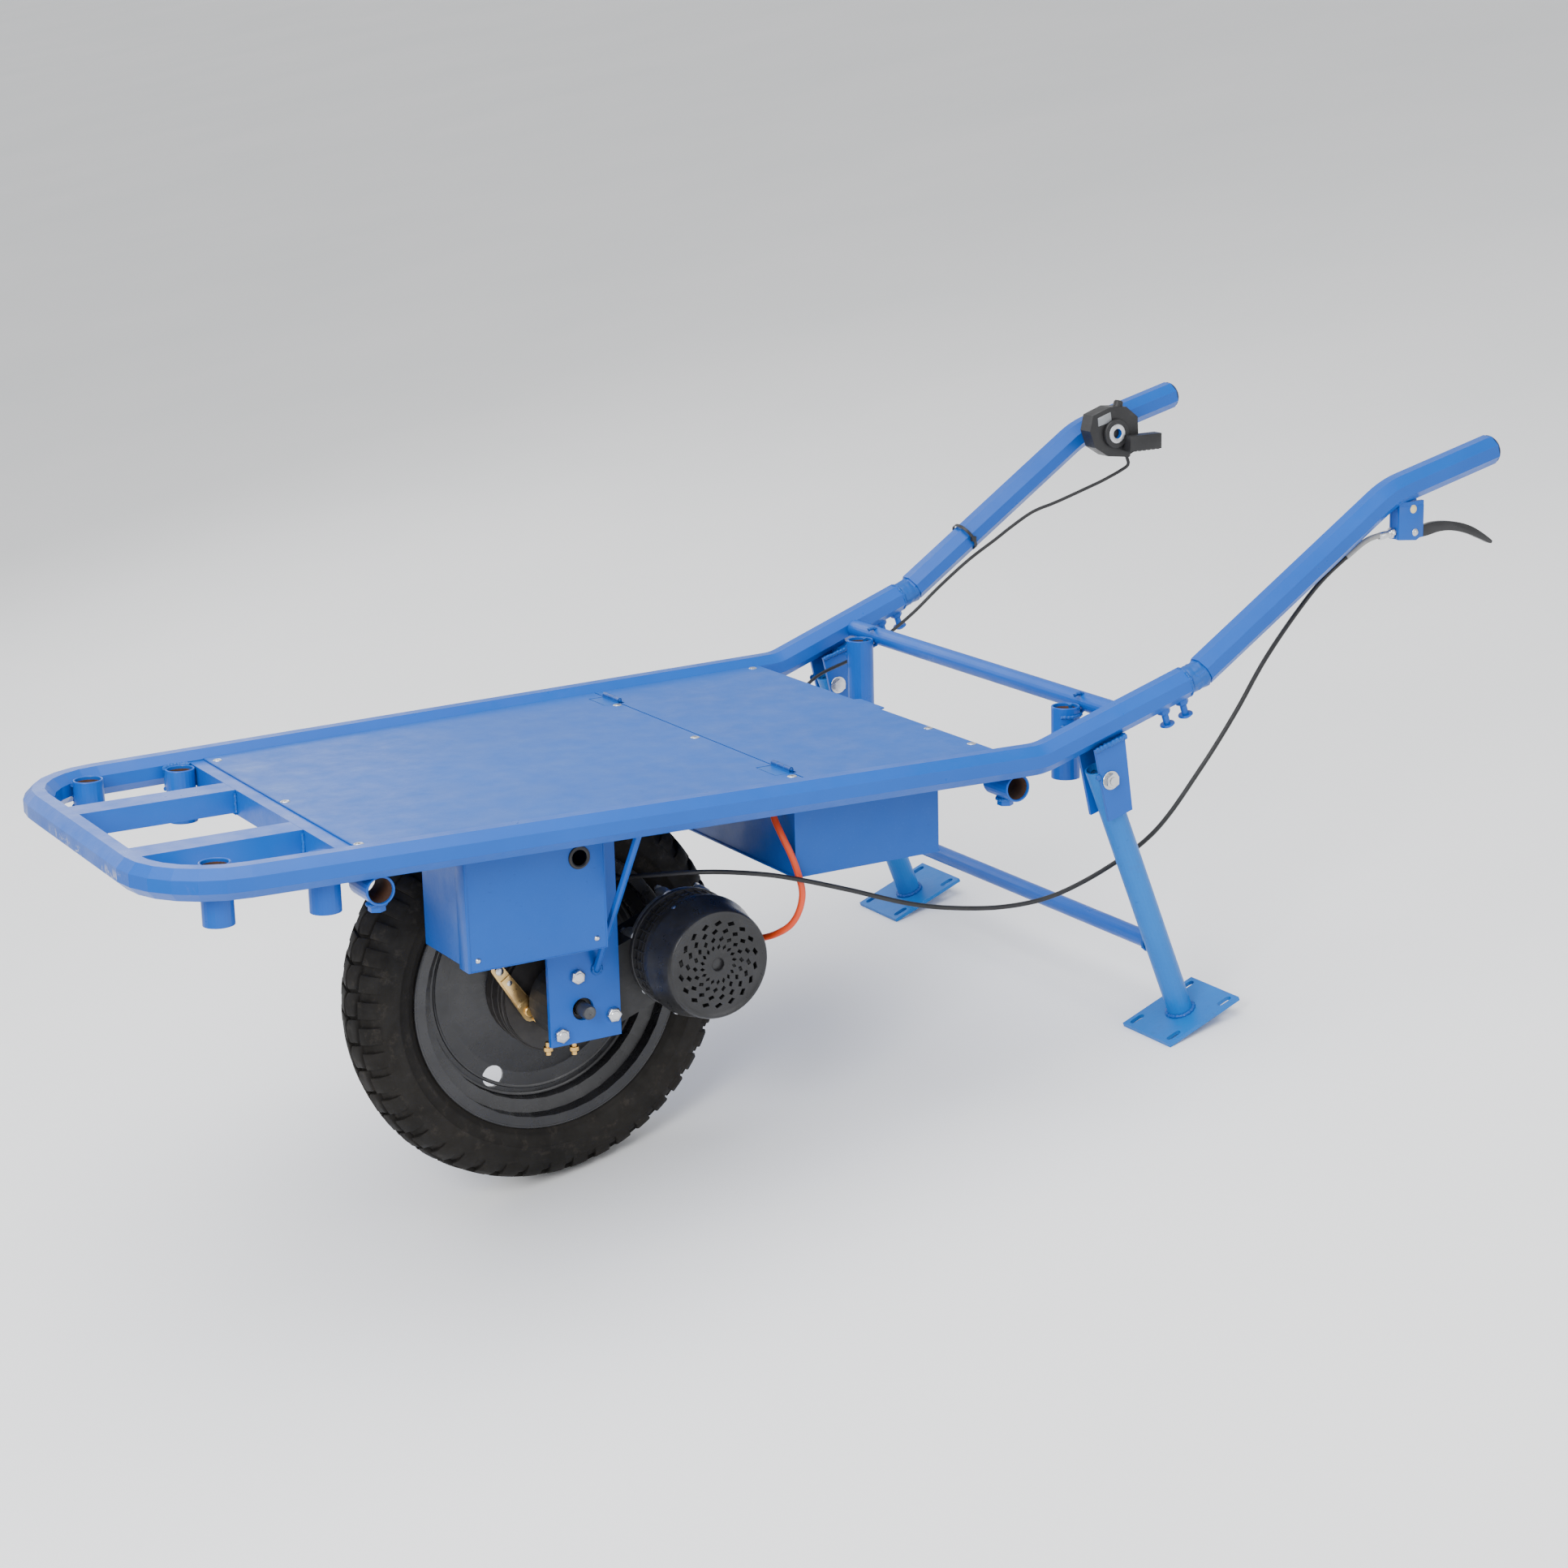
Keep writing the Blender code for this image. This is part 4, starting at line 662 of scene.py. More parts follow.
def build_tyre():
    kit = one("tyre_carcass", rubber, "wheel", "tyre_rubber", 40)
    half = [(0.1668, 0.0200), (0.1668, 0.0285), (0.1690, 0.0312), (0.1735, 0.0338), (0.1752, 0.0356),
            (0.1775, 0.0358), (0.1795, 0.0372), (0.1850, 0.0410), (0.1862, 0.0424), (0.1885, 0.0430),
            (0.1920, 0.0447), (0.1990, 0.0474), (0.2000, 0.0484), (0.2030, 0.0486), (0.2045, 0.0478),
            (0.2120, 0.0478), (0.2190, 0.0466), (0.2215, 0.0452)]
    for height in (0.0420, 0.0380, 0.0320, 0.0240, 0.0160, 0.0080):
        half.append((crown(height) - TREAD, height))
    inner = [(0.1668, 0.0200), (0.1830, 0.0340), (0.2050, 0.0390), (0.2220, 0.0350), (0.2320, 0.0230),
             (0.2370, 0.0100)]
    outline = half[1:] + [(crown(0) - TREAD, 0.0)] + [(r, -h) for r, h in reversed(half[1:])]
    outline += [(r, -h) for r, h in inner] + [(r, h) for r, h in reversed(inner)]
    lathe(kit.bm, outline, (0, 0, AXLE_Z), (0, 1, 0), 138, closed=True)
    carcass = kit.done()
    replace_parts(carcass, "tyre")

    kit = one("tyre_tread", rubber, "wheel", "tyre_rubber", 40)
    count = 46
    pitch = 2 * math.pi * 0.25 / count

    def groove(s):
        phase = (s / pitch) % 1.0
        return 0.0046 * (4 * abs(phase - 0.5) - 1)

    def block(index, s0, s1, inside, outside, lean):
        steps = (0.0, 0.06, 0.35, 0.65, 0.94, 1.0)
        grid = []
        for u in steps:
            row = []
            for v in steps:
                edge = u in (0.0, 1.0) or v in (0.0, 1.0)
                s = (index + s0 + (s1 - s0) * u) * pitch
                height = inside(s) + (outside(s) - inside(s)) * v
                s += lean * v * pitch
                angle = s / 0.25
                radius = crown(height) - (0.0011 if edge else 0.0)
                row.append(kit.bm.verts.new((radius * math.cos(angle), height,
                                             AXLE_Z + radius * math.sin(angle))))
            grid.append(row)
        last = len(steps) - 1
        for a in range(last):
            for b in range(last):
                kit.bm.faces.new((grid[a][b], grid[a][b + 1], grid[a + 1][b + 1], grid[a + 1][b]))
        border = ([grid[0][k] for k in range(last)] + [grid[k][last] for k in range(last)]
                  + [grid[last][k] for k in range(last, 0, -1)] + [grid[k][0] for k in range(last, 0, -1)])
        low = []
        for vert in border:
            flat = Vector((vert.co.x, 0, vert.co.z - AXLE_Z))
            deep = crown(vert.co.y) - TREAD - 0.0012
            spread = 1.0 + 0.010 * (1 if abs(vert.co.y) > 0.02 else 0.5)
            flat = flat.normalized() * deep
            low.append(kit.bm.verts.new((flat.x, vert.co.y * spread, flat.z + AXLE_Z)))
        for k in range(len(border)):
            n = (k + 1) % len(border)
            kit.bm.faces.new((border[k], border[n], low[n], low[k]))

    for index in range(count):
        block(index, 0.07, 0.93, lambda s: groove(s) + 0.0014, lambda s: 0.0200, 0.10)
        block(index, 0.07, 0.93, lambda s: groove(s) - 0.0014, lambda s: -0.0200, 0.10)
        for sign in (1, -1):
            shift = 0.0 if sign > 0 else 0.5
            block(index, 0.10 + shift, 0.74 + shift, lambda s: sign * 0.0242, lambda s: sign * 0.0440, 0.06)
    bmesh.ops.recalc_face_normals(kit.bm, faces=kit.bm.faces)
    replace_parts(kit.done(), "tyre")

    kit = one("tyre_moulding_hairs", rubber, "wheel", "tyre_rubber")
    for index in range(2 * count):
        angle = 2 * math.pi * (index + 0.35) / (2 * count)
        height = 0.0225 * (1 if index % 2 else -1)
        out = Vector((math.cos(angle), 0, math.sin(angle)))
        foot = Vector((0, height, AXLE_Z)) + out * (crown(height) - TREAD)
        lean = Vector((-out.z, 0.4 * (1 if index % 3 else -1), out.x)) * 0.0010
        tube(kit.bm, [foot, foot + out * 0.0030 + lean * 0.5, foot + out * 0.0052 + lean], 0.0004, 4)
    kit.done()


# ------------------------------------------------------------------ rim, hub and brake
def build_wheel_details():
    kit = one("rim_lips", black_enamel, "wheel", "black_steel")
    for sign in (1, -1):
        tube(kit.bm, ring_points((0, sign * 0.0388, AXLE_Z), 0.1762, (0, 1, 0), steps=120), 0.0018, 10)
    lathe(kit.bm, [(0.1478, 0.0016), (0.1462, 0.0026), (0.1440, 0.0024), (0.1428, 0.0016)],
          (0, 0, AXLE_Z), (0, 1, 0), 96)
    lathe(kit.bm, [(0.1380, 0.0014), (0.1365, 0.0024), (0.1345, 0.0022), (0.1332, 0.0014)],
          (0, 0, AXLE_Z), (0, 1, 0), 96)
    kit.done()
    kit = one("brake_drum_rim", drum_black, "wheel", "black_steel")
    for height, radius in ((0.0592, 0.0722), (0.0480, 0.0718), (0.0300, 0.0718)):
        tube(kit.bm, ring_points((0, height, AXLE_Z), radius, (0, 1, 0), steps=72), 0.0012, 8)
    kit.done()
    kit = one("hub_nuts", steel, "wheel", "steel")
    for k in range(6):
        angle = math.radians(30 + 60 * k)
        at = (0.046 * math.cos(angle), -0.0139, AXLE_Z + 0.046 * math.sin(angle))
        washer(kit.bm, at, (0, -1, 0), 0.0082, 0.0030, 0.0012, 20)
        hex_head(kit.bm, (at[0], at[1] - 0.0012, at[2]), (0, -1, 0), 0.0120, 0.0055)
    kit.done()
    kit = one("axle_nuts", steel, "wheel", "steel")
    hex_head(kit.bm, (0, -0.1337, AXLE_Z), (0, -1, 0), 0.0260, 0.0100)
    kit.done()

    kit = one("brake_seal", white_plastic, "frame", "steel")
    tube(kit.bm, ring_points((0, 0.0660, AXLE_Z), 0.0640, (0, 1, 0), 80, 140, 30), 0.0016, 8)
    kit.done()

    kit = one("brake_arm_fixings", brass, "arm", "zinc_plate")
    hex_head(kit.bm, (0.0340, 0.0741, -0.2990), (0, 1, 0), 0.0090, 0.0030)
    lathe(kit.bm, [(0.0, 0.0034), (0.0052, 0.0032), (0.0064, 0.0022), (0.0066, 0.0)],
          (0.0435, 0.0741, -0.2880), (0, 1, 0), 24)
    kit.done()
    kit = one("brake_arm_clevis", steel, "arm", "zinc_plate")
    lathe(kit.bm, [(0.0, 0.0034), (0.0034, 0.0030), (0.0052, 0.0018), (0.0056, 0.0)],
          (0.0800, 0.0740, -0.231), (0, 1, 0), 20)
    washer(kit.bm, (0.0800, 0.0700, -0.231), (0, -1, 0), 0.0056, 0.0026, 0.0014, 20)
    lathe(kit.bm, [(0.0, 0.0024), (0.0030, 0.0020), (0.0045, 0.0010), (0.0048, 0.0)],
          (0.0680, 0.0740, -0.2480), (0, 1, 0), 20)
    kit.done()
    # the joggle that steps the arm outward, and the raised length above it
    kit = one("brake_arm_joggle", gold_zinc, "arm", "zinc_plate")
    toe, heel = Vector((0.0800, 0, -0.2310)), Vector((0.0410, 0, -0.2910))
    reach = (toe - heel).length
    turn = Matrix.Translation(heel) @ Matrix.Rotation(-math.atan2(toe.z - heel.z, toe.x - heel.x), 4, "Y")
    slab(kit.bm, [(0.016, -0.0086), (0.0215, -0.0082), (0.0215, 0.0082), (0.016, 0.0086)],
         0.0738, 0.0752, 0.0005, turn)
    slab(kit.bm, [(0.0200, -0.0082), (reach - 0.012, -0.0070), (reach - 0.012, 0.0070), (0.0200, 0.0082)],
         0.0738, 0.0757, 0.0006, turn)
    kit.done()


# ------------------------------------------------------------------ drive unit
def build_drive():
    rotor = Vector(JOINTS["rotor_spin"]["pos_m"])
    local = M.inverted() @ rotor
    cx, cz = local.x, local.z

    # the cap's face: swirling rows of lozenge holes between a plain hub and a plain rim
    kit = one("fan_cap", cap_plastic, "frame", "black_plastic", 38)
    face, thick = 0.2128, 0.0024
    rings, count, inner, outer, swirl = 4, 18, 0.0170, 0.0560, 11.0
    steps = [inner + (outer - inner) * k / rings for k in range(rings + 1)]

    def at(radius, turn):
        angle = 2 * math.pi * turn / count + swirl * (radius - inner)
        return Vector((cx + radius * math.cos(angle), face, cz + radius * math.sin(angle)))

    made = bmesh.new()
    cache = {}

    def vert(key, where):
        if key not in cache:
            cache[key] = made.verts.new(where)
        return cache[key]

    for ring in range(rings):
        r0, r1 = steps[ring], steps[ring + 1]
        middle = (r0 + r1) / 2
        for k in range(count):
            n = (k + 1) % count
            corners = [vert((ring, k), at(r0, k)), vert((ring, n), at(r0, k + 1)),
                       vert((ring + 1, n), at(r1, k + 1)), vert((ring + 1, k), at(r1, k))]
            mid = [vert((ring, k, "s"), at(r0, k + 0.5)), vert((ring, n, "r"), at(middle, k + 1)),
                   vert((ring + 1, k, "s"), at(r1, k + 0.5)), vert((ring, k, "r"), at(middle, k))]
            hole = [made.verts.new(at(middle + (r - middle) * 0.72, k + 0.5 + t))
                    for r, t in ((r0, 0.0), (middle, 0.30), (r1, 0.0), (middle, -0.30))]
            for index in range(4):
                nxt = (index + 1) % 4
                made.faces.new((mid[index], corners[nxt], mid[nxt], hole[nxt], hole[index]))
    extruded = bmesh.ops.extrude_face_region(made, geom=made.faces[:])["geom"]
    back = [v for v in extruded if isinstance(v, bmesh.types.BMVert)]
    bmesh.ops.translate(made, vec=(0, -thick, 0), verts=back)
    merge(kit.bm, made)
    lathe(kit.bm, [(0.0080, face - thick), (0.0080, face - 0.0004), (0.0088, face + 0.0002), (0.0172, face),
                   (0.0172, face - thick)], (cx, 0, cz), (0, 1, 0), 54, closed=True)
    lathe(kit.bm, [(0.0556, face - thick), (0.0556, face), (0.0600, face + 0.0004), (0.0622, face + 0.0014),
                   (0.0638, 0.2148), (0.0654, 0.2146), (0.0666, 0.2132), (0.0678, 0.2100), (0.0700, 0.1960),
                   (0.0724, 0.1852), (0.0746, 0.1772), (0.0755, 0.1740), (0.0758, 0.1722), (0.0755, 0.1664),
                   (0.0748, 0.1660), (0.0735, 0.1660), (0.0735, 0.1750), (0.0655, 0.2066), (0.0640, 0.2086)],
          (cx, 0, cz), (0, 1, 0), 96, closed=True)
    cap = kit.done()
    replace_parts(cap, "motor_fan_cap")

    # a plain dark disc close behind the holes, so that the motor does not shine through
    kit = one("fan_blades", cap_plastic, "frame", "black_plastic")
    lathe(kit.bm, [(0.0, 0.2040), (0.0560, 0.2040), (0.0600, 0.2060), (0.0600, 0.2010), (0.0, 0.2010)],
          (cx, 0, cz), (0, 1, 0), 48)
    kit.done()

    kit = one("cap_screws", steel, "frame", "steel")
    for turn in (62, 178, 214, 300):
        out = Vector((math.cos(math.radians(turn)), 0, math.sin(math.radians(turn))))
        foot = Vector((cx, 0.1705, cz)) + out * 0.0752
        lathe(kit.bm, [(0.0, 0.0016), (0.0022, 0.0014), (0.0034, 0.0004), (0.0034, -0.0010)], foot, out, 16)
    kit.done()

    kit = one("motor_ribs", motor_black, "frame", "aluminium")
    for k in range(36):
        turn = 2 * math.pi * k / 36
        out = Vector((math.cos(turn), 0, math.sin(turn)))
        foot = Vector((cx, 0, cz)) + out * 0.0655
        lift = Matrix.Translation(foot) @ Matrix.Rotation(-turn, 4, "Y")
        brick(kit.bm, (-0.0010, 0.1340, -0.0010), (0.0076, 0.1640, 0.0010), 0.0005, lift, 1)
    lathe(kit.bm, [(0.0650, 0.1268), (0.0738, 0.1268), (0.0745, 0.1275), (0.0745, 0.1325), (0.0738, 0.1332),
                   (0.0650, 0.1332)], (cx, 0, cz), (0, 1, 0), 80, closed=True)
    lathe(kit.bm, [(0.0650, 0.1600), (0.0732, 0.1600), (0.0740, 0.1608), (0.0740, 0.1640), (0.0650, 0.1640)],
          (cx, 0, cz), (0, 1, 0), 80, closed=True)
    kit.done()

    # the cast end ring between the gear case and the motor, with its lugs
    lugs = ((118, 0.0680), (160, 0.0680), (205, 0.0680), (248, 0.0680), (75, 0.0680), (20, 0.0670),
            (-40, 0.0680))
    kit = one("gearcase_lugs", cast, "frame", "cast_aluminium")
    lathe(kit.bm, [(0.0400, 0.1120), (0.0560, 0.1080), (0.0620, 0.1090), (0.0700, 0.1150), (0.0728, 0.1185),
                   (0.0732, 0.1250), (0.0722, 0.1262), (0.0400, 0.1262)],
          (cx, 0, cz), (0, 1, 0), 80, closed=True)
    for turn, reach in lugs:
        out = Vector((math.cos(math.radians(turn)), 0, math.sin(math.radians(turn))))
        foot = Vector((cx, 0, cz)) + out * reach
        lathe(kit.bm, [(0.0, 0.1266), (0.0066, 0.1266), (0.0080, 0.1254), (0.0086, 0.1090), (0.0074, 0.1040),
                       (0.0, 0.1020)], (foot.x, 0, foot.z), (0, 1, 0), 24)
        web = Matrix.Translation(Vector((cx, 0, cz))) @ Matrix.Rotation(-math.radians(turn), 4, "Y")
        brick(kit.bm, (0.0400, 0.1040, -0.0045), (reach, 0.1255, 0.0045), 0.0012, web)
    kit.done()

    kit = one("gearcase_bolts", steel, "frame", "steel")
    for turn, reach in lugs:
        out = Vector((math.cos(math.radians(turn)), 0, math.sin(math.radians(turn)))) * (reach + 0.0040)
        hex_head(kit.bm, (cx + out.x, 0.1010, cz + out.z), (0, -1, 0), 0.0088, 0.0042)
    for x, z in ((0.0060, -0.2350), (-0.0400, -0.2910), (0.0300, -0.3040)):
        hex_head(kit.bm, (x, 0.1334, z), (0, 1, 0), 0.0165, 0.0062, 0.3 + 9 * x)
        lathe(kit.bm, [(0.0, 0.1403), (0.0050, 0.1402), (0.0058, 0.1394), (0.0058, 0.1380)],
              (x, 0, z), (0, 1, 0), 20)
    kit.done()

    kit = one("stop_screws", brass, "frame", "zinc_plate")
    for x, z in ((0.0410, -0.3210), (0.0067, -0.3270)):
        tube(kit.bm, [(x, 0.118, z + 0.006), (x, 0.118, z - 0.010)], 0.0034, 12)
        hex_head(kit.bm, (x, 0.118, z + 0.000), (0, 0, -1), 0.0105, 0.0060)
    kit.done()

    kit = one("axle_end", dark_steel, "wheel", "steel")
    lathe(kit.bm, [(0.0, 0.1530), (0.0016, 0.1530), (0.0020, 0.1536), (0.0050, 0.1538), (0.0078, 0.1524),
                   (0.0089, 0.1500), (0.0089, 0.1330)], (0, 0, AXLE_Z), (0, 1, 0), 28)
    kit.done()


# ------------------------------------------------------------------ deck
def cross_screw(kit, x, y, z=0.0, radius=0.0058):
    """A countersunk head with a cross recess, level with the sheet."""
    lathe(kit.bm, [(0.0012, z + 0.0004), (radius * 0.80, z + 0.0011), (radius, z + 0.0003),
          (radius, z - 0.0002)],
          (x, y, 0), (0, 0, 1), 24)
    for turn in (0.35, 0.35 + math.pi / 2):
        spin = Matrix.Translation((x, y, z)) @ Matrix.Rotation(turn, 4, "Z")
        for y0, y1 in ((0.0006, 0.0030), (-0.0030, -0.0006)):
            brick(kit.bm, (-0.0005, y0, 0.0006), (0.0005, y1, 0.0009), 0.0, spin)


def build_deck_details():
    screws = one("deck_screws", steel, "frame", "steel")
    # a dark steel dot in each front deck screw's centre: painted shade in the cross recess
    dark = one("deck_screw_recess_shade", dark_steel, "frame", "steel")
    for x, y in ((0.3056, -0.2269), (0.3098, 0.0076), (0.3098, 0.2272)):
        cross_screw(screws, x, y)
        lathe(dark.bm, [(0.0, 0.00095), (0.0012, 0.0010), (0.0018, 0.0006)], (x, y, 0), (0, 0, 1), 12)
    for x, y in ((-0.2290, -0.1995), (-0.2270, 0.0142), (-0.2285, 0.2500)):
        cross_screw(screws, x, y)
        lathe(dark.bm, [(0.0, 0.00095), (0.0012, 0.0010), (0.0018, 0.0006)], (x, y, 0), (0, 0, 1), 12)
    screws.done()
    dark.done()
    lid = one("lid_screws", steel, "lid", "steel")
    for x, y in ((-0.4791, -0.2850), (-0.4870, 0.1436), (-0.4870, 0.2410)):
        cross_screw(lid, x, y)
    lid.done()

    # the knuckles take the darker blue paint: a painted shadow line along the lid seam
    leaf = one("hinge_knuckles", knuckle_shadow_paint, "frame", "deck_paint")
    for y in HINGE_Y:
        for start, end in ((-0.0220, -0.0090), (-0.0075, 0.0075), (0.0090, 0.0220)):
            lathe(leaf.bm, [(0.0, start), (0.0027, start), (0.0033, start + 0.0006), (0.0033, end - 0.0006),
                            (0.0027, end), (0.0, end)], (SEAM_X, y, HINGE_Z), (0, 1, 0), 20)
        lathe(leaf.bm, [(0.0, 0.0245), (0.0018, 0.0240), (0.0022, 0.0232), (0.0022, -0.0232),
              (0.0018, -0.0240),
                        (0.0, -0.0245)], (SEAM_X, y, HINGE_Z), (0, 1, 0), 14)
    leaf.done()
    edge = one("deck_edge_fold", deck_paint, "frame", "deck_paint")
    brick(edge.bm, (0.3148, -0.2460, -0.0022), (0.3164, 0.2460, -0.0002), 0.0005)
    edge.done()


# ------------------------------------------------------------------ frame details
def build_welds():
    kit = one("frame_welds", weld_paint, "frame", "frame_paint", 60)
    seed = 0.0
    for side, sign in SIDES:
        # stake pockets against the rail and the cross members
        for x, y, low, high in ((FRONT_POCKET_X, FRONT_POCKET_Y, -0.028, -0.008),
                                (MID_POCKET_X, MID_POCKET_Y, -0.029, -0.008)):
            for fore in (-1, 1):
                seed += 1.7
                bead(kit.bm, [(x + fore * 0.0125, sign * (y + 0.0150), low),
                              (x + fore * 0.0120, sign * (y + 0.0158), (low + high) / 2),
                              (x + fore * 0.0125, sign * (y + 0.0150), high)], 0.0030, seed)
            for z, half in ((-0.0285, 62), (-0.0030, 60)):
                seed += 1.3
                inward = sign * 90
                loop = ring_points((x, sign * y, z), 0.0192, (0, 0, 1), inward - half, inward + half, 12)
                bead(kit.bm, loop, 0.0026, seed)
        # rear pocket against the rail and the cross tube
        for z, reach in ((0.018, 50), (0.0060, 50)):
            seed += 2.1
            bead(kit.bm, ring_points((-0.6246, sign * 0.243, z), 0.0190, (0, 0, 1), sign * 90 - reach,
                                     sign * 90 + reach, 10), 0.0026, seed)
        bead(kit.bm, ring_points((-0.6440, sign * 0.2430, 0.0295), 0.0125, (0, 1, 0), 0, 300, 16),
             0.0026, seed)
        # sockets under the rail
        for x, mouth in SOCKETS:
            z = RAIL_Z - TUBE / 2 - 0.0010
            for fore in (-1, 1):
                seed += 1.1
                bead(kit.bm, [(x + fore * 0.0105, sign * (mouth - 0.030), z - 0.0015),
                              (x + fore * 0.0100, sign * (mouth - 0.012), z - 0.0012)], 0.0030, seed)
        # cross members into the rails
        for x, half_x, deep in ((0.315, 0.020, 0.0245), (-0.2445, 0.0125, 0.0245), (-0.4755, 0.0125, 0.0245)):
            y = rail_y(x) - TUBE / 2 - 0.0006
            seed += 1.9
            bead(kit.bm, [(x - half_x, sign * y, -0.0060), (x - half_x, sign * y, -deep)], 0.0026, seed)
            bead(kit.bm, [(x + half_x, sign * y, -0.0060), (x + half_x, sign * y, -deep)], 0.0026, seed + 3)
            bead(kit.bm, [(x - half_x, sign * y, -deep - 0.0022), (x + half_x, sign * y, -deep - 0.0022)],
                 0.0024,
                 seed + 5)
        # front bars into the front tube and the cross member
        for x in (0.5452 - TUBE / 2 - 0.0006, 0.3360):
            for y in (0.0865, 0.1275):
                seed += 0.7
                bead(kit.bm, [(x, sign * y, -0.0060), (x, sign * y, -0.0300)], 0.0026, seed)
            bead(kit.bm, [(x, sign * 0.088, -0.0305), (x, sign * 0.126, -0.0305)], 0.0026, seed + 2)
        # stay into the rail and the dropout
        bead(kit.bm, ring_points((-0.0120, sign * 0.2700, RAIL_Z - TUBE / 2 - 0.0015), 0.0056, (0, 0, 1),
             0, 360,
                                 14), 0.0024, seed)
        bead(kit.bm, ring_points((-0.0200, sign * 0.1340, -0.2300), 0.0058, (0, 1, 0), 0, 360, 14),
             0.0022, seed)
        # dropout under the deck beam
        for x in (-0.048, 0.042 if sign < 0 else -0.006):
            seed += 0.9
            bead(kit.bm, [(x - 0.0005, sign * 0.1275, -0.0050), (x - 0.0005, sign * 0.1275, -0.0300)],
                 0.0024, seed)
        # leg bracket under the rail
        base = rail_z(-0.622) - TUBE / 2
        bead(kit.bm, [(-0.5985, sign * 0.3420, base - 0.0080), (-0.6150, sign * 0.3425, base - 0.0030),
                      (-0.6300, sign * 0.3425, base + 0.0010), (-0.6440, sign * 0.3420, base + 0.0050)],
             0.0034, seed)
        bead(kit.bm, [(-0.5985, sign * 0.2995, base - 0.0080), (-0.6440, sign * 0.2995, base + 0.0050)],
             0.0030,
             seed + 4)
        bead(kit.bm, [(-0.6450, sign * 0.3400, base + 0.0045), (-0.6445, sign * 0.3200, base + 0.0060),
                      (-0.6450, sign * 0.3020, base + 0.0045)], 0.0032, seed + 6)
        for x, z in ((-0.6050, 0.0005), (-0.6235, 0.0000)):
            lathe(kit.bm, [(0.0, 0.0020), (0.0024, 0.0016), (0.0040, 0.0004), (0.0040, -0.0015)],
                  (x, sign * 0.3412, z - 0.040), (0, sign, 0), 16)
        # socket screws' nuts
        for x, y in ((0.304, 0.254), (-0.508, 0.282)):
            z = RAIL_Z - TUBE / 2 - 0.0003 - 0.034
            seed += 1.3
            bead(kit.bm, ring_points((x, sign * y, z - 0.0010), 0.0102, (0, 0, 1), 0, 360, 18), 0.0022, seed)
    kit.done()

    kit = one("stand_welds", weld_paint, "stand", "frame_paint", 60)
    down = Vector((-math.sin(LEG_RAKE), 0, -math.cos(LEG_RAKE)))
    for sign in (1, -1):
        at = Vector((PIVOT_X, sign * (LEG_Y - 0.0168), PIVOT_Z)) + down * 0.246
        bead(kit.bm, ring_points(at, 0.0118, (0, 1, 0), 0, 360, 18), 0.0026, sign * 3.0)
        foot = Vector((PIVOT_X, sign * LEG_Y, PIVOT_Z)) + down * 0.3455
        bead(kit.bm, ring_points(foot, 0.0170, down, 0, 360, 20), 0.0030, sign * 5.0)
    kit.done()


def build_bore_linings():
    kit = one("bore_linings", rust, "frame", "frame_paint")
    for side, sign in SIDES:
        for x, y, z0, z1 in ((FRONT_POCKET_X, FRONT_POCKET_Y, -0.0665, 0.003),
                             (MID_POCKET_X, MID_POCKET_Y, -0.069, -0.004),
                             (*REAR_POCKET, -0.062, 0.028)):
            lathe(kit.bm, [(0.0155, z0 + 0.001), (0.0155, z1 - 0.0030), (0.0151, z1 - 0.0040),
                           (0.0151, z0 + 0.001)], (x, sign * y, 0), (0, 0, 1), 40, closed=True)
        for x, mouth in SOCKETS:
            lathe(kit.bm, [(0.0145, mouth - 0.049), (0.0145, mouth - 0.0020), (0.0141, mouth - 0.0030),
                           (0.0141, mouth - 0.049)], (x, 0, SOCKET_Z), (0, sign, 0), 40, closed=True)
    kit.done()
    kit = one("bore_mouths", paint, "frame", "frame_paint")
    for side, sign in SIDES:
        for x, y, z in ((FRONT_POCKET_X, FRONT_POCKET_Y, 0.003), (MID_POCKET_X, MID_POCKET_Y, -0.004),
                        (*REAR_POCKET, 0.028)):
            tube(kit.bm, ring_points((x, sign * y, z - 0.0002), 0.01675, (0, 0, 1), steps=40), 0.00135, 8)
        for x, mouth in SOCKETS:
            loop = ring_points((x, sign * (mouth - 0.0002), SOCKET_Z), 0.01575, (0, 1, 0), steps=40)
            tube(kit.bm, loop, 0.00135, 8)
    kit.done()


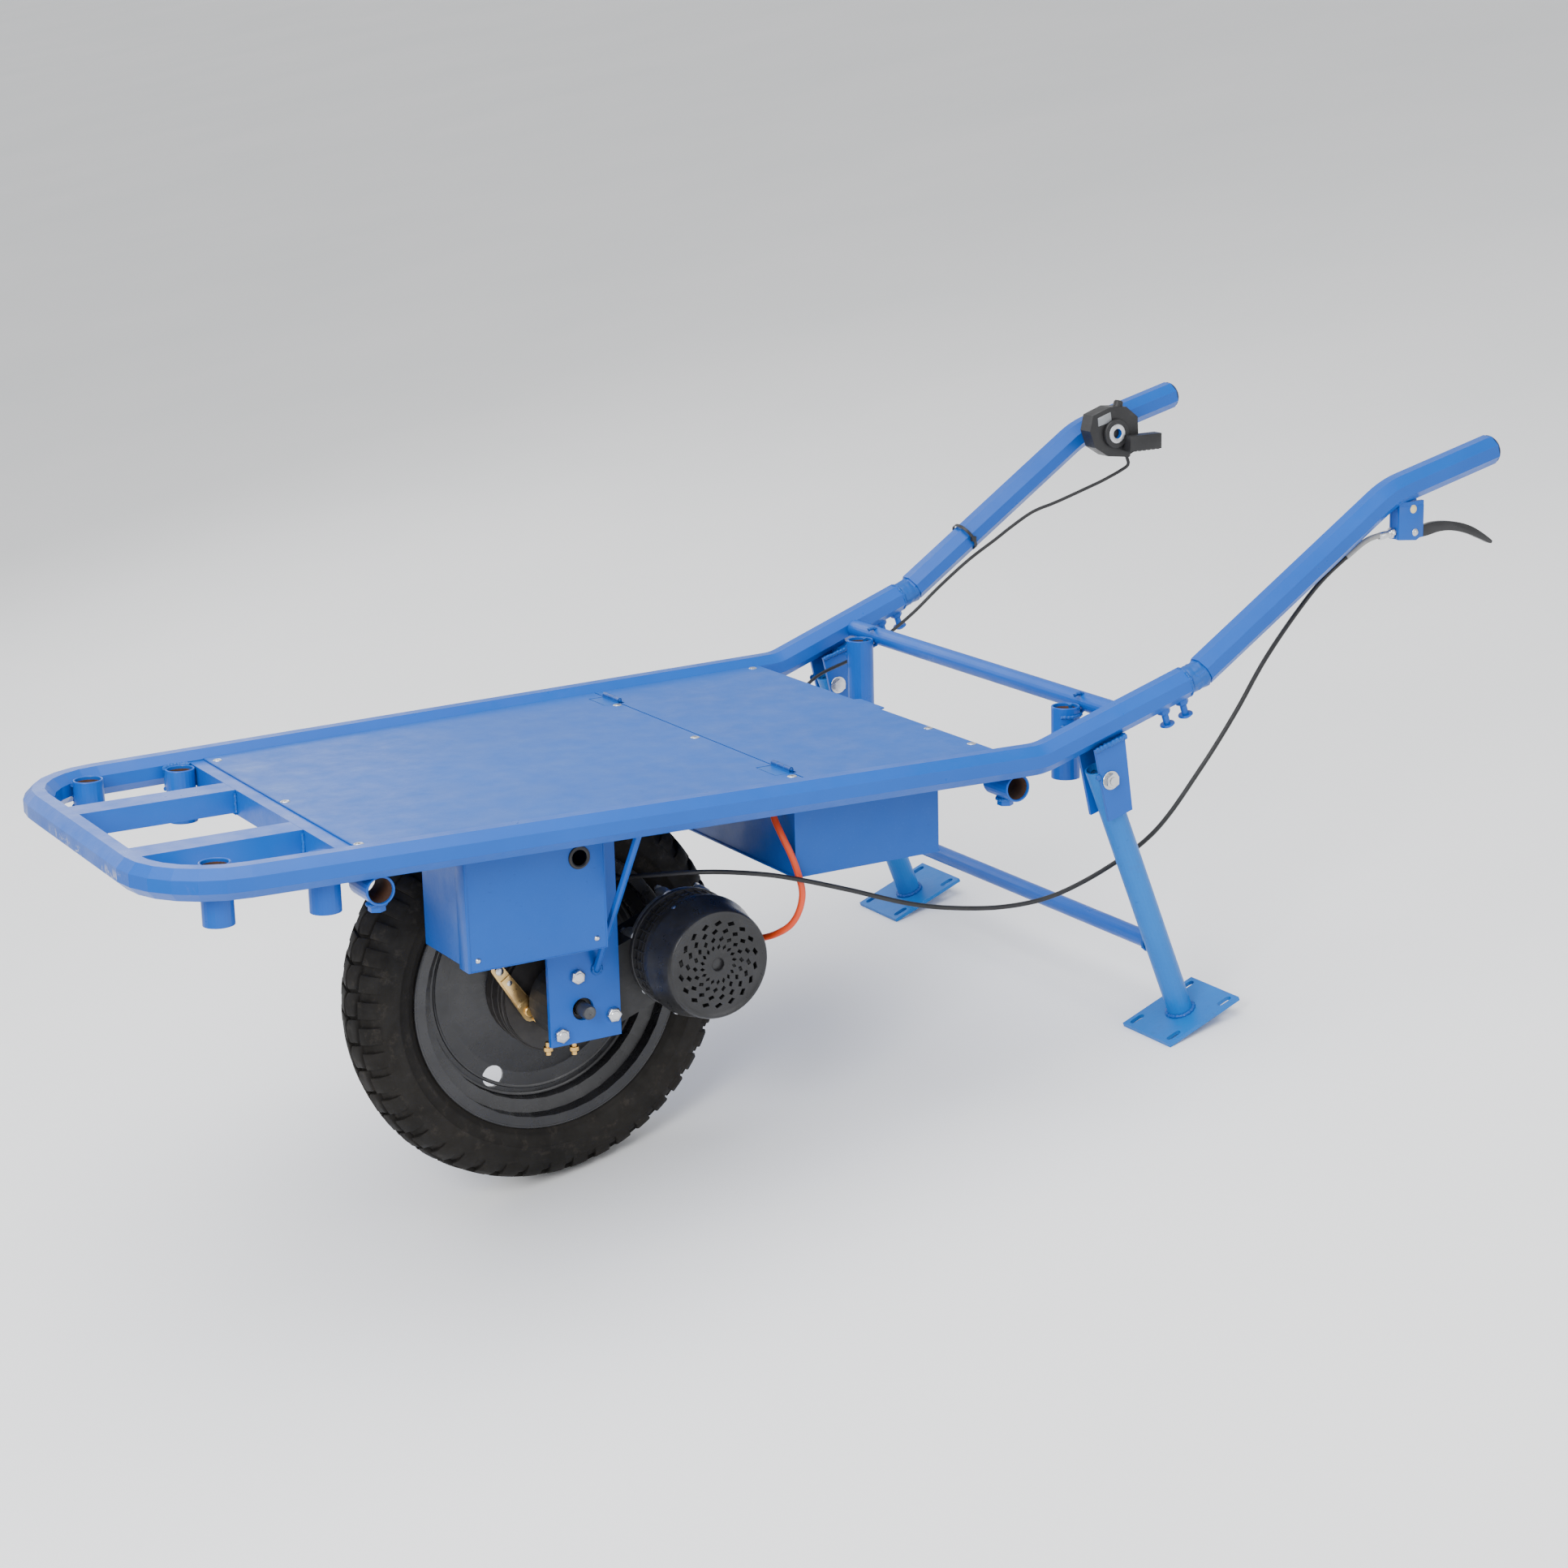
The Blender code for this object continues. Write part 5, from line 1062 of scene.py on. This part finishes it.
def build_rail_mouths():
    """Lumpy collars where the handles enter the rails, and the screws that clamp them."""
    for side, sign in SIDES:
        mouth = Vector((MOUTH_X, sign * rail_y(MOUTH_X), rail_z(MOUTH_X)))
        along = Vector((-1.0, sign * TAPER, RISE)).normalized()
        kit = one(side + "_handle_collar", weld_paint, side + "_grip", "frame_paint", 50)
        made = bmesh.new()
        rings = []
        count, steps = 22, 40
        turn = basis(along)
        for row in range(count + 1):
            t = row / count
            centre = mouth + along * (0.0006 + 0.0262 * t)
            ring = []
            for k in range(steps):
                angle = 2 * math.pi * k / steps
                out = turn @ Vector((math.cos(angle), math.sin(angle), 0))
                lump = noise.noise(centre * 120 + out * 2.2) * 0.0011
                lump += noise.noise(centre * 420 + out * 7) * 0.0006
                radius = 0.0176 + lump - (0.0009 if row in (0, count) else 0.0)
                ring.append(made.verts.new(centre + out * radius))
            rings.append(ring)
        for low, high in zip(rings, rings[1:]):
            for k in range(steps):
                made.faces.new((low[k], low[(k + 1) % steps], high[(k + 1) % steps], high[k]))
        made.faces.new(rings[0])
        made.faces.new(rings[-1])
        merge(kit.bm, made)
        kit.done()

        ring = one(side + "_mouth_bead", weld_paint, "frame", "frame_paint", 50)
        turn = basis(along)
        spokes = [turn @ Vector((math.cos(math.radians(a)), math.sin(math.radians(a)), 0))
                  for a in range(0, 361, 15)]
        loop = [mouth - along * 0.0020 + spoke * 0.0182 for spoke in spokes]
        bead(ring.bm, loop, 0.0018, sign * 4.0)
        ring.done()

        bolts = one(side + "_clamp_screws", paint, "frame", "frame_paint")
        down = (along.cross(Vector((0, 1, 0)))).normalized()
        if down.z > 0:
            down = -down
        for step in (0.0120, 0.0400):
            at = mouth - along * step + down * (TUBE / 2)
            hex_head(bolts.bm, at - down * 0.0010, down, 0.0150, 0.0085)
            lathe(bolts.bm, [(0.0044, 0.0), (0.0044, 0.0200), (0.0088, 0.0205), (0.0094, 0.0215),
                             (0.0094, 0.0228), (0.0078, 0.0240), (0.0040, 0.0262), (0.0, 0.0268)],
            at, down, 24)
        bolts.done()


def build_frame_details():
    kit = one("controller_trim", box_blue, "frame", "frame_paint")
    top = -0.0023 - 0.028 - 0.0003
    brick(kit.bm, (0.1738, 0.1800, -0.1812), (0.1772, 0.2052, top + 0.001), 0.0008)
    brick(kit.bm, (-0.0014, 0.1800, -0.1814), (0.1760, 0.2046, -0.1800), 0.0008)
    brick(kit.bm, (-0.0018, 0.1840, -0.1812), (0.0004, 0.2046, top), 0.0008)
    kit.done()
    kit = one("controller_grommet", plastic, "frame", "black_plastic")
    lathe(kit.bm, [(0.0095, 0.2030), (0.0095, 0.2052), (0.0110, 0.2062), (0.0132, 0.2058), (0.0140, 0.2044),
                   (0.0120, 0.2030)], (0.031, 0, -0.067), (0, 1, 0), 36, closed=True)
    kit.done()
    kit = one("controller_rivets", steel, "frame", "steel")
    for x, z in ((0.0120, -0.1680), (0.1640, -0.1680), (0.1640, -0.0450), (0.0100, -0.0450)):
        lathe(kit.bm, [(0.0, 0.2060), (0.0018, 0.2058), (0.0033, 0.2046), (0.0036, 0.2039)],
              (x, 0, z), (0, 1, 0), 20)
    kit.done()

    kit = one("battery_box_folds", box_blue, "frame", "frame_paint")
    for y in (0.2034, -0.2034):
        brick(kit.bm, (-0.4632, y - 0.0006, -0.0440), (-0.2563, y + 0.0006, -0.0400), 0.0005)
    brick(kit.bm, (-0.4640, -0.2030, -0.1414), (-0.4616, 0.2030, -0.1386), 0.0008)
    brick(kit.bm, (-0.2580, -0.2030, -0.1414), (-0.2556, 0.2030, -0.1386), 0.0008)
    kit.done()
    kit = one("lead_grommets", plastic, "frame", "black_plastic")
    lathe(kit.bm, [(0.0044, 0.0), (0.0052, 0.0016), (0.0078, 0.0014), (0.0084, 0.0)],
          (-0.2572, 0.1722, -0.0580),
          (1, 0, 0), 28, closed=True)
    lathe(kit.bm, [(0.0026, 0.0), (0.0034, 0.0014), (0.0062, 0.0012), (0.0068, 0.0)],
          (-0.4624, -0.1850, -0.0450),
          (-1, 0, 0), 24, closed=True)
    kit.done()

    kit = one("pivot_washers", steel, "frame", "steel")
    for side, sign in SIDES:
        for reach in (1, -1):
            at = (PIVOT_X, sign * (LEG_Y + reach * 0.02120), PIVOT_Z)
            washer(kit.bm, at, (0, sign * reach, 0), 0.0118, 0.0052, 0.0012, 32)
    kit.done()
    kit = one("rail_pins", steel, "frame", "steel")
    for side, sign in SIDES:
        lathe(kit.bm, [(0.0, 0.0030), (0.0022, 0.0026), (0.0028, 0.0016), (0.0028, -0.0020)],
              (-0.6720, sign * 0.3290, 0.0190), (0, sign * 0.5, -1), 16)
    kit.done()


# ------------------------------------------------------------------ controls
def build_controls():
    # brake lever: a rounded alloy blade
    x, y, z = LEVER_AT
    outline = [(0.012, 0.006), (0.004, 0.011), (-0.006, 0.011), (-0.016, 0.006), (-0.035, 0.0085),
               (-0.056, 0.0075), (-0.080, 0.003), (-0.100, -0.004), (-0.118, -0.014), (-0.134, -0.025),
               (-0.136, -0.028), (-0.132, -0.030), (-0.112, -0.021), (-0.090, -0.012), (-0.066, -0.006),
               (-0.045, -0.005), (-0.025, -0.008), (-0.005, -0.009), (0.010, -0.007)]
    kit = one("lever_blade", black_alloy, "lever", "black_alloy", 50)
    smooth = smooth_route([(a, 0, b) for a, b in outline] + [(outline[0][0], 0, outline[0][1])], 0.004)
    slab(kit.bm, [(x + p.x, z + p.z) for p in smooth[:-1]], y - 0.0040, y + 0.0040, 0.0013, segments=3)
    blade = kit.done()
    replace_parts(blade, "brake_lever")
    kit = one("lever_rivet", steel, "lever", "steel")
    for sign in (1, -1):
        lathe(kit.bm, [(0.0, 0.0116), (0.0026, 0.0112), (0.0048, 0.0098), (0.0052, 0.0090), (0.0052, 0.0040)],
              (x, y, z), (0, sign, 0), 24)
    kit.done()
    kit = one("lever_barrel", steel, "lever", "steel")
    lathe(kit.bm, [(0.0, 0.0052), (0.0030, 0.0050), (0.0036, 0.0042), (0.0036, -0.0042), (0.0030, -0.0050),
                   (0.0, -0.0052)], (x + 0.0060, y, z + 0.0020), (0, 1, 0), 20)
    kit.done()
    kit = one("cable_ferrule", steel, "left_grip", "steel")
    axis = Vector((1, 0, -0.12)).normalized()
    start = Vector((x + 0.0265, y, z + 0.0020))
    lathe(kit.bm, [(0.0034, 0.0), (0.0052, 0.0006), (0.0052, 0.0100), (0.0044, 0.0108), (0.0044, 0.0150),
                   (0.0050, 0.0154), (0.0050, 0.0240), (0.0040, 0.0256), (0.0032, 0.0260), (0.0032, 0.0)],
          start, axis, 24)
    hex_head(kit.bm, start + axis * 0.0030, axis, 0.0120, 0.0060)
    kit.done()
    kit = one("bracket_bolt_cap", cream, "left_grip", "steel")
    lathe(kit.bm, [(0.0, 0.0112), (0.0030, 0.0108), (0.0052, 0.0096), (0.0060, 0.0084), (0.0060, 0.0040)],
          (-1.0860, y, 0.2390), (0, 1, 0), 24)
    kit.done()
    kit = one("bracket_edges", paint, "left_grip", "frame_paint")
    for y0, y1 in ((-0.0094, -0.0041), (0.0041, 0.0094)):
        slab(kit.bm, [(x - 0.0135, z + 0.0060), (x - 0.0135, z + 0.0350), (x + 0.0272, z + 0.0350),
                      (x + 0.0272, z - 0.0075), (x - 0.0020, z - 0.0105), (x - 0.0110, z - 0.0060)],
             y + y0, y + y1, 0.0010)
    kit.done()

    # a short grey outer sleeve on the first part of the brake cable
    kit = one("grey_outer", grey_sheath, "left_grip", "cable_black")
    tube(kit.bm, smooth_route(BRAKE_ROUTE[:3], 0.0035), 0.0036, 14)
    kit.done()

    # thumb throttle
    x, y, z = THROTTLE_AT
    kit = one("throttle_case", plastic, "right_grip", "black_plastic", 45)
    outline = [(0.0375, 0.0275), (0.0085, 0.0372), (-0.0200, 0.0355), (-0.0395, 0.0200), (-0.0415, -0.0258),
               (-0.0200, -0.0355), (0.0115, -0.0318), (0.0336, -0.0180), (0.0424, 0.0060)]
    slab(kit.bm, [(x + a, z + b) for a, b in outline], y - 0.0302, y - 0.0218, 0.0020, segments=3)
    slab(kit.bm, [(x + a * 0.97, z + b * 0.97) for a, b in outline], y - 0.0220, y - 0.0062, 0.0010)
    kit.done()
    kit = one("throttle_window", window, "right_grip", "black_plastic", 45)
    slab(kit.bm, [(x + 0.0300, z + 0.0240), (x + 0.0080, z + 0.0310), (x + 0.0060, z + 0.0170),
                  (x + 0.0290, z + 0.0120)], y - 0.0066, y - 0.0050, 0.0006)
    kit.done()
    kit = one("throttle_knob", plastic, "right_grip", "black_plastic")
    lathe(kit.bm, [(0.0, 0.0100), (0.0048, 0.0096), (0.0066, 0.0080), (0.0070, 0.0040), (0.0078, 0.0)],
          (x - 0.0130, y - 0.0180, z + 0.0350), (-0.25, 0, 1), 28)
    lathe(kit.bm, [(0.0, 0.0080), (0.0035, 0.0076), (0.0046, 0.0060), (0.0050, 0.0)], (x - 0.0290, y - 0.0180,
          z - 0.0310), (-0.3, 0, -1), 24)
    kit.done()
    kit = one("stub_face", steel, "right_grip", "frame_paint")
    lathe(kit.bm, [(0.0071, 0.0008), (0.0082, 0.0012), (0.0126, 0.0010), (0.0136, 0.0002), (0.0136, -0.0030),
                   (0.0071, -0.0030)], (x, y, z), (0, 1, 0), 36, closed=True)
    kit.done()
    kit = one("paddle_pad", plastic, "thumb_paddle", "black_plastic", 45)
    for index in range(6):
        left = x - 0.0660 + 0.0080 * index
        brick(kit.bm, (left, y - 0.0050, z - 0.0268), (left + 0.0045, y + 0.0115, z - 0.0255), 0.0004)
    brick(kit.bm, (x - 0.0695, y - 0.0062, z - 0.0262), (x - 0.0150, y + 0.0126, z - 0.0038),
          0.0022, segments=3)
    lathe(kit.bm, [(0.0140, -0.0056), (0.0200, -0.0056), (0.0206, -0.0048), (0.0206, -0.0012),
          (0.0198, -0.0002),
                   (0.0140, -0.0002)], (x, y, z), (0, 1, 0), 44, closed=True)
    kit.done()

    # cable tie round the right handle and the throttle cable
    kit = one("cable_tie", plastic, "right_grip", "black_plastic", 50)
    low = Vector((MOUTH_X, -rail_y(MOUTH_X), rail_z(MOUTH_X)))
    high = Vector((HANDLE_BEND[0], -HANDLE_BEND[1], HANDLE_BEND[2]))
    along = (high - low).normalized()
    centre = low + along * 0.1340
    turn = basis(along)
    made = bmesh.new()
    rows = []
    for k in range(32):
        out = turn @ Vector((math.cos(2 * math.pi * k / 32), math.sin(2 * math.pi * k / 32), 0))
        point = centre + out * (0.0203 + 0.0035 * max(0.0, out.y - 0.2))
        rows.append([made.verts.new(point + along * a + out * b)
                     for a, b in ((-0.0022, 0), (0.0022, 0), (0.0022, 0.0012), (-0.0022, 0.0012))])
    for index, row in enumerate(rows):
        nxt = rows[(index + 1) % len(rows)]
        for k in range(4):
            made.faces.new((row[k], row[(k + 1) % 4], nxt[(k + 1) % 4], nxt[k]))
    merge(kit.bm, made)
    brick(kit.bm, (-0.0036, -0.0030, -0.0036), (0.0036, 0.0030, 0.0036), 0.0008,
          Matrix.Translation(centre + (turn @ Vector((0, 0.0235, 0)))))
    kit.done()

    # smooth domed plugs in the handle ends
    for side, sign in SIDES:
        tip = Vector((HANDLE_TIP[0], sign * HANDLE_TIP[1], HANDLE_TIP[2]))
        bend = Vector((HANDLE_BEND[0], sign * HANDLE_BEND[1], HANDLE_BEND[2]))
        grip = (tip - bend).normalized()
        kit = one(side + "_plug_dome", navy, side + "_grip", "navy_plastic", 60)
        profile = [(0.0, 0.0090), (0.0040, 0.0088), (0.0080, 0.0081), (0.0120, 0.0068), (0.0152, 0.0050),
                   (0.0174, 0.0028), (0.0186, 0.0008), (0.0187, 0.0004), (0.0160, 0.0003), (0.0160, -0.0180),
                   (0.0, -0.0180)]
        lathe(kit.bm, profile, tip, grip, 48)
        plug = kit.done()
        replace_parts(plug, side + "_grip_plug")


build_tyre()
build_wheel_details()
build_drive()
build_deck_details()
build_welds()
build_bore_linings()
build_rail_mouths()
build_frame_details()
build_controls()
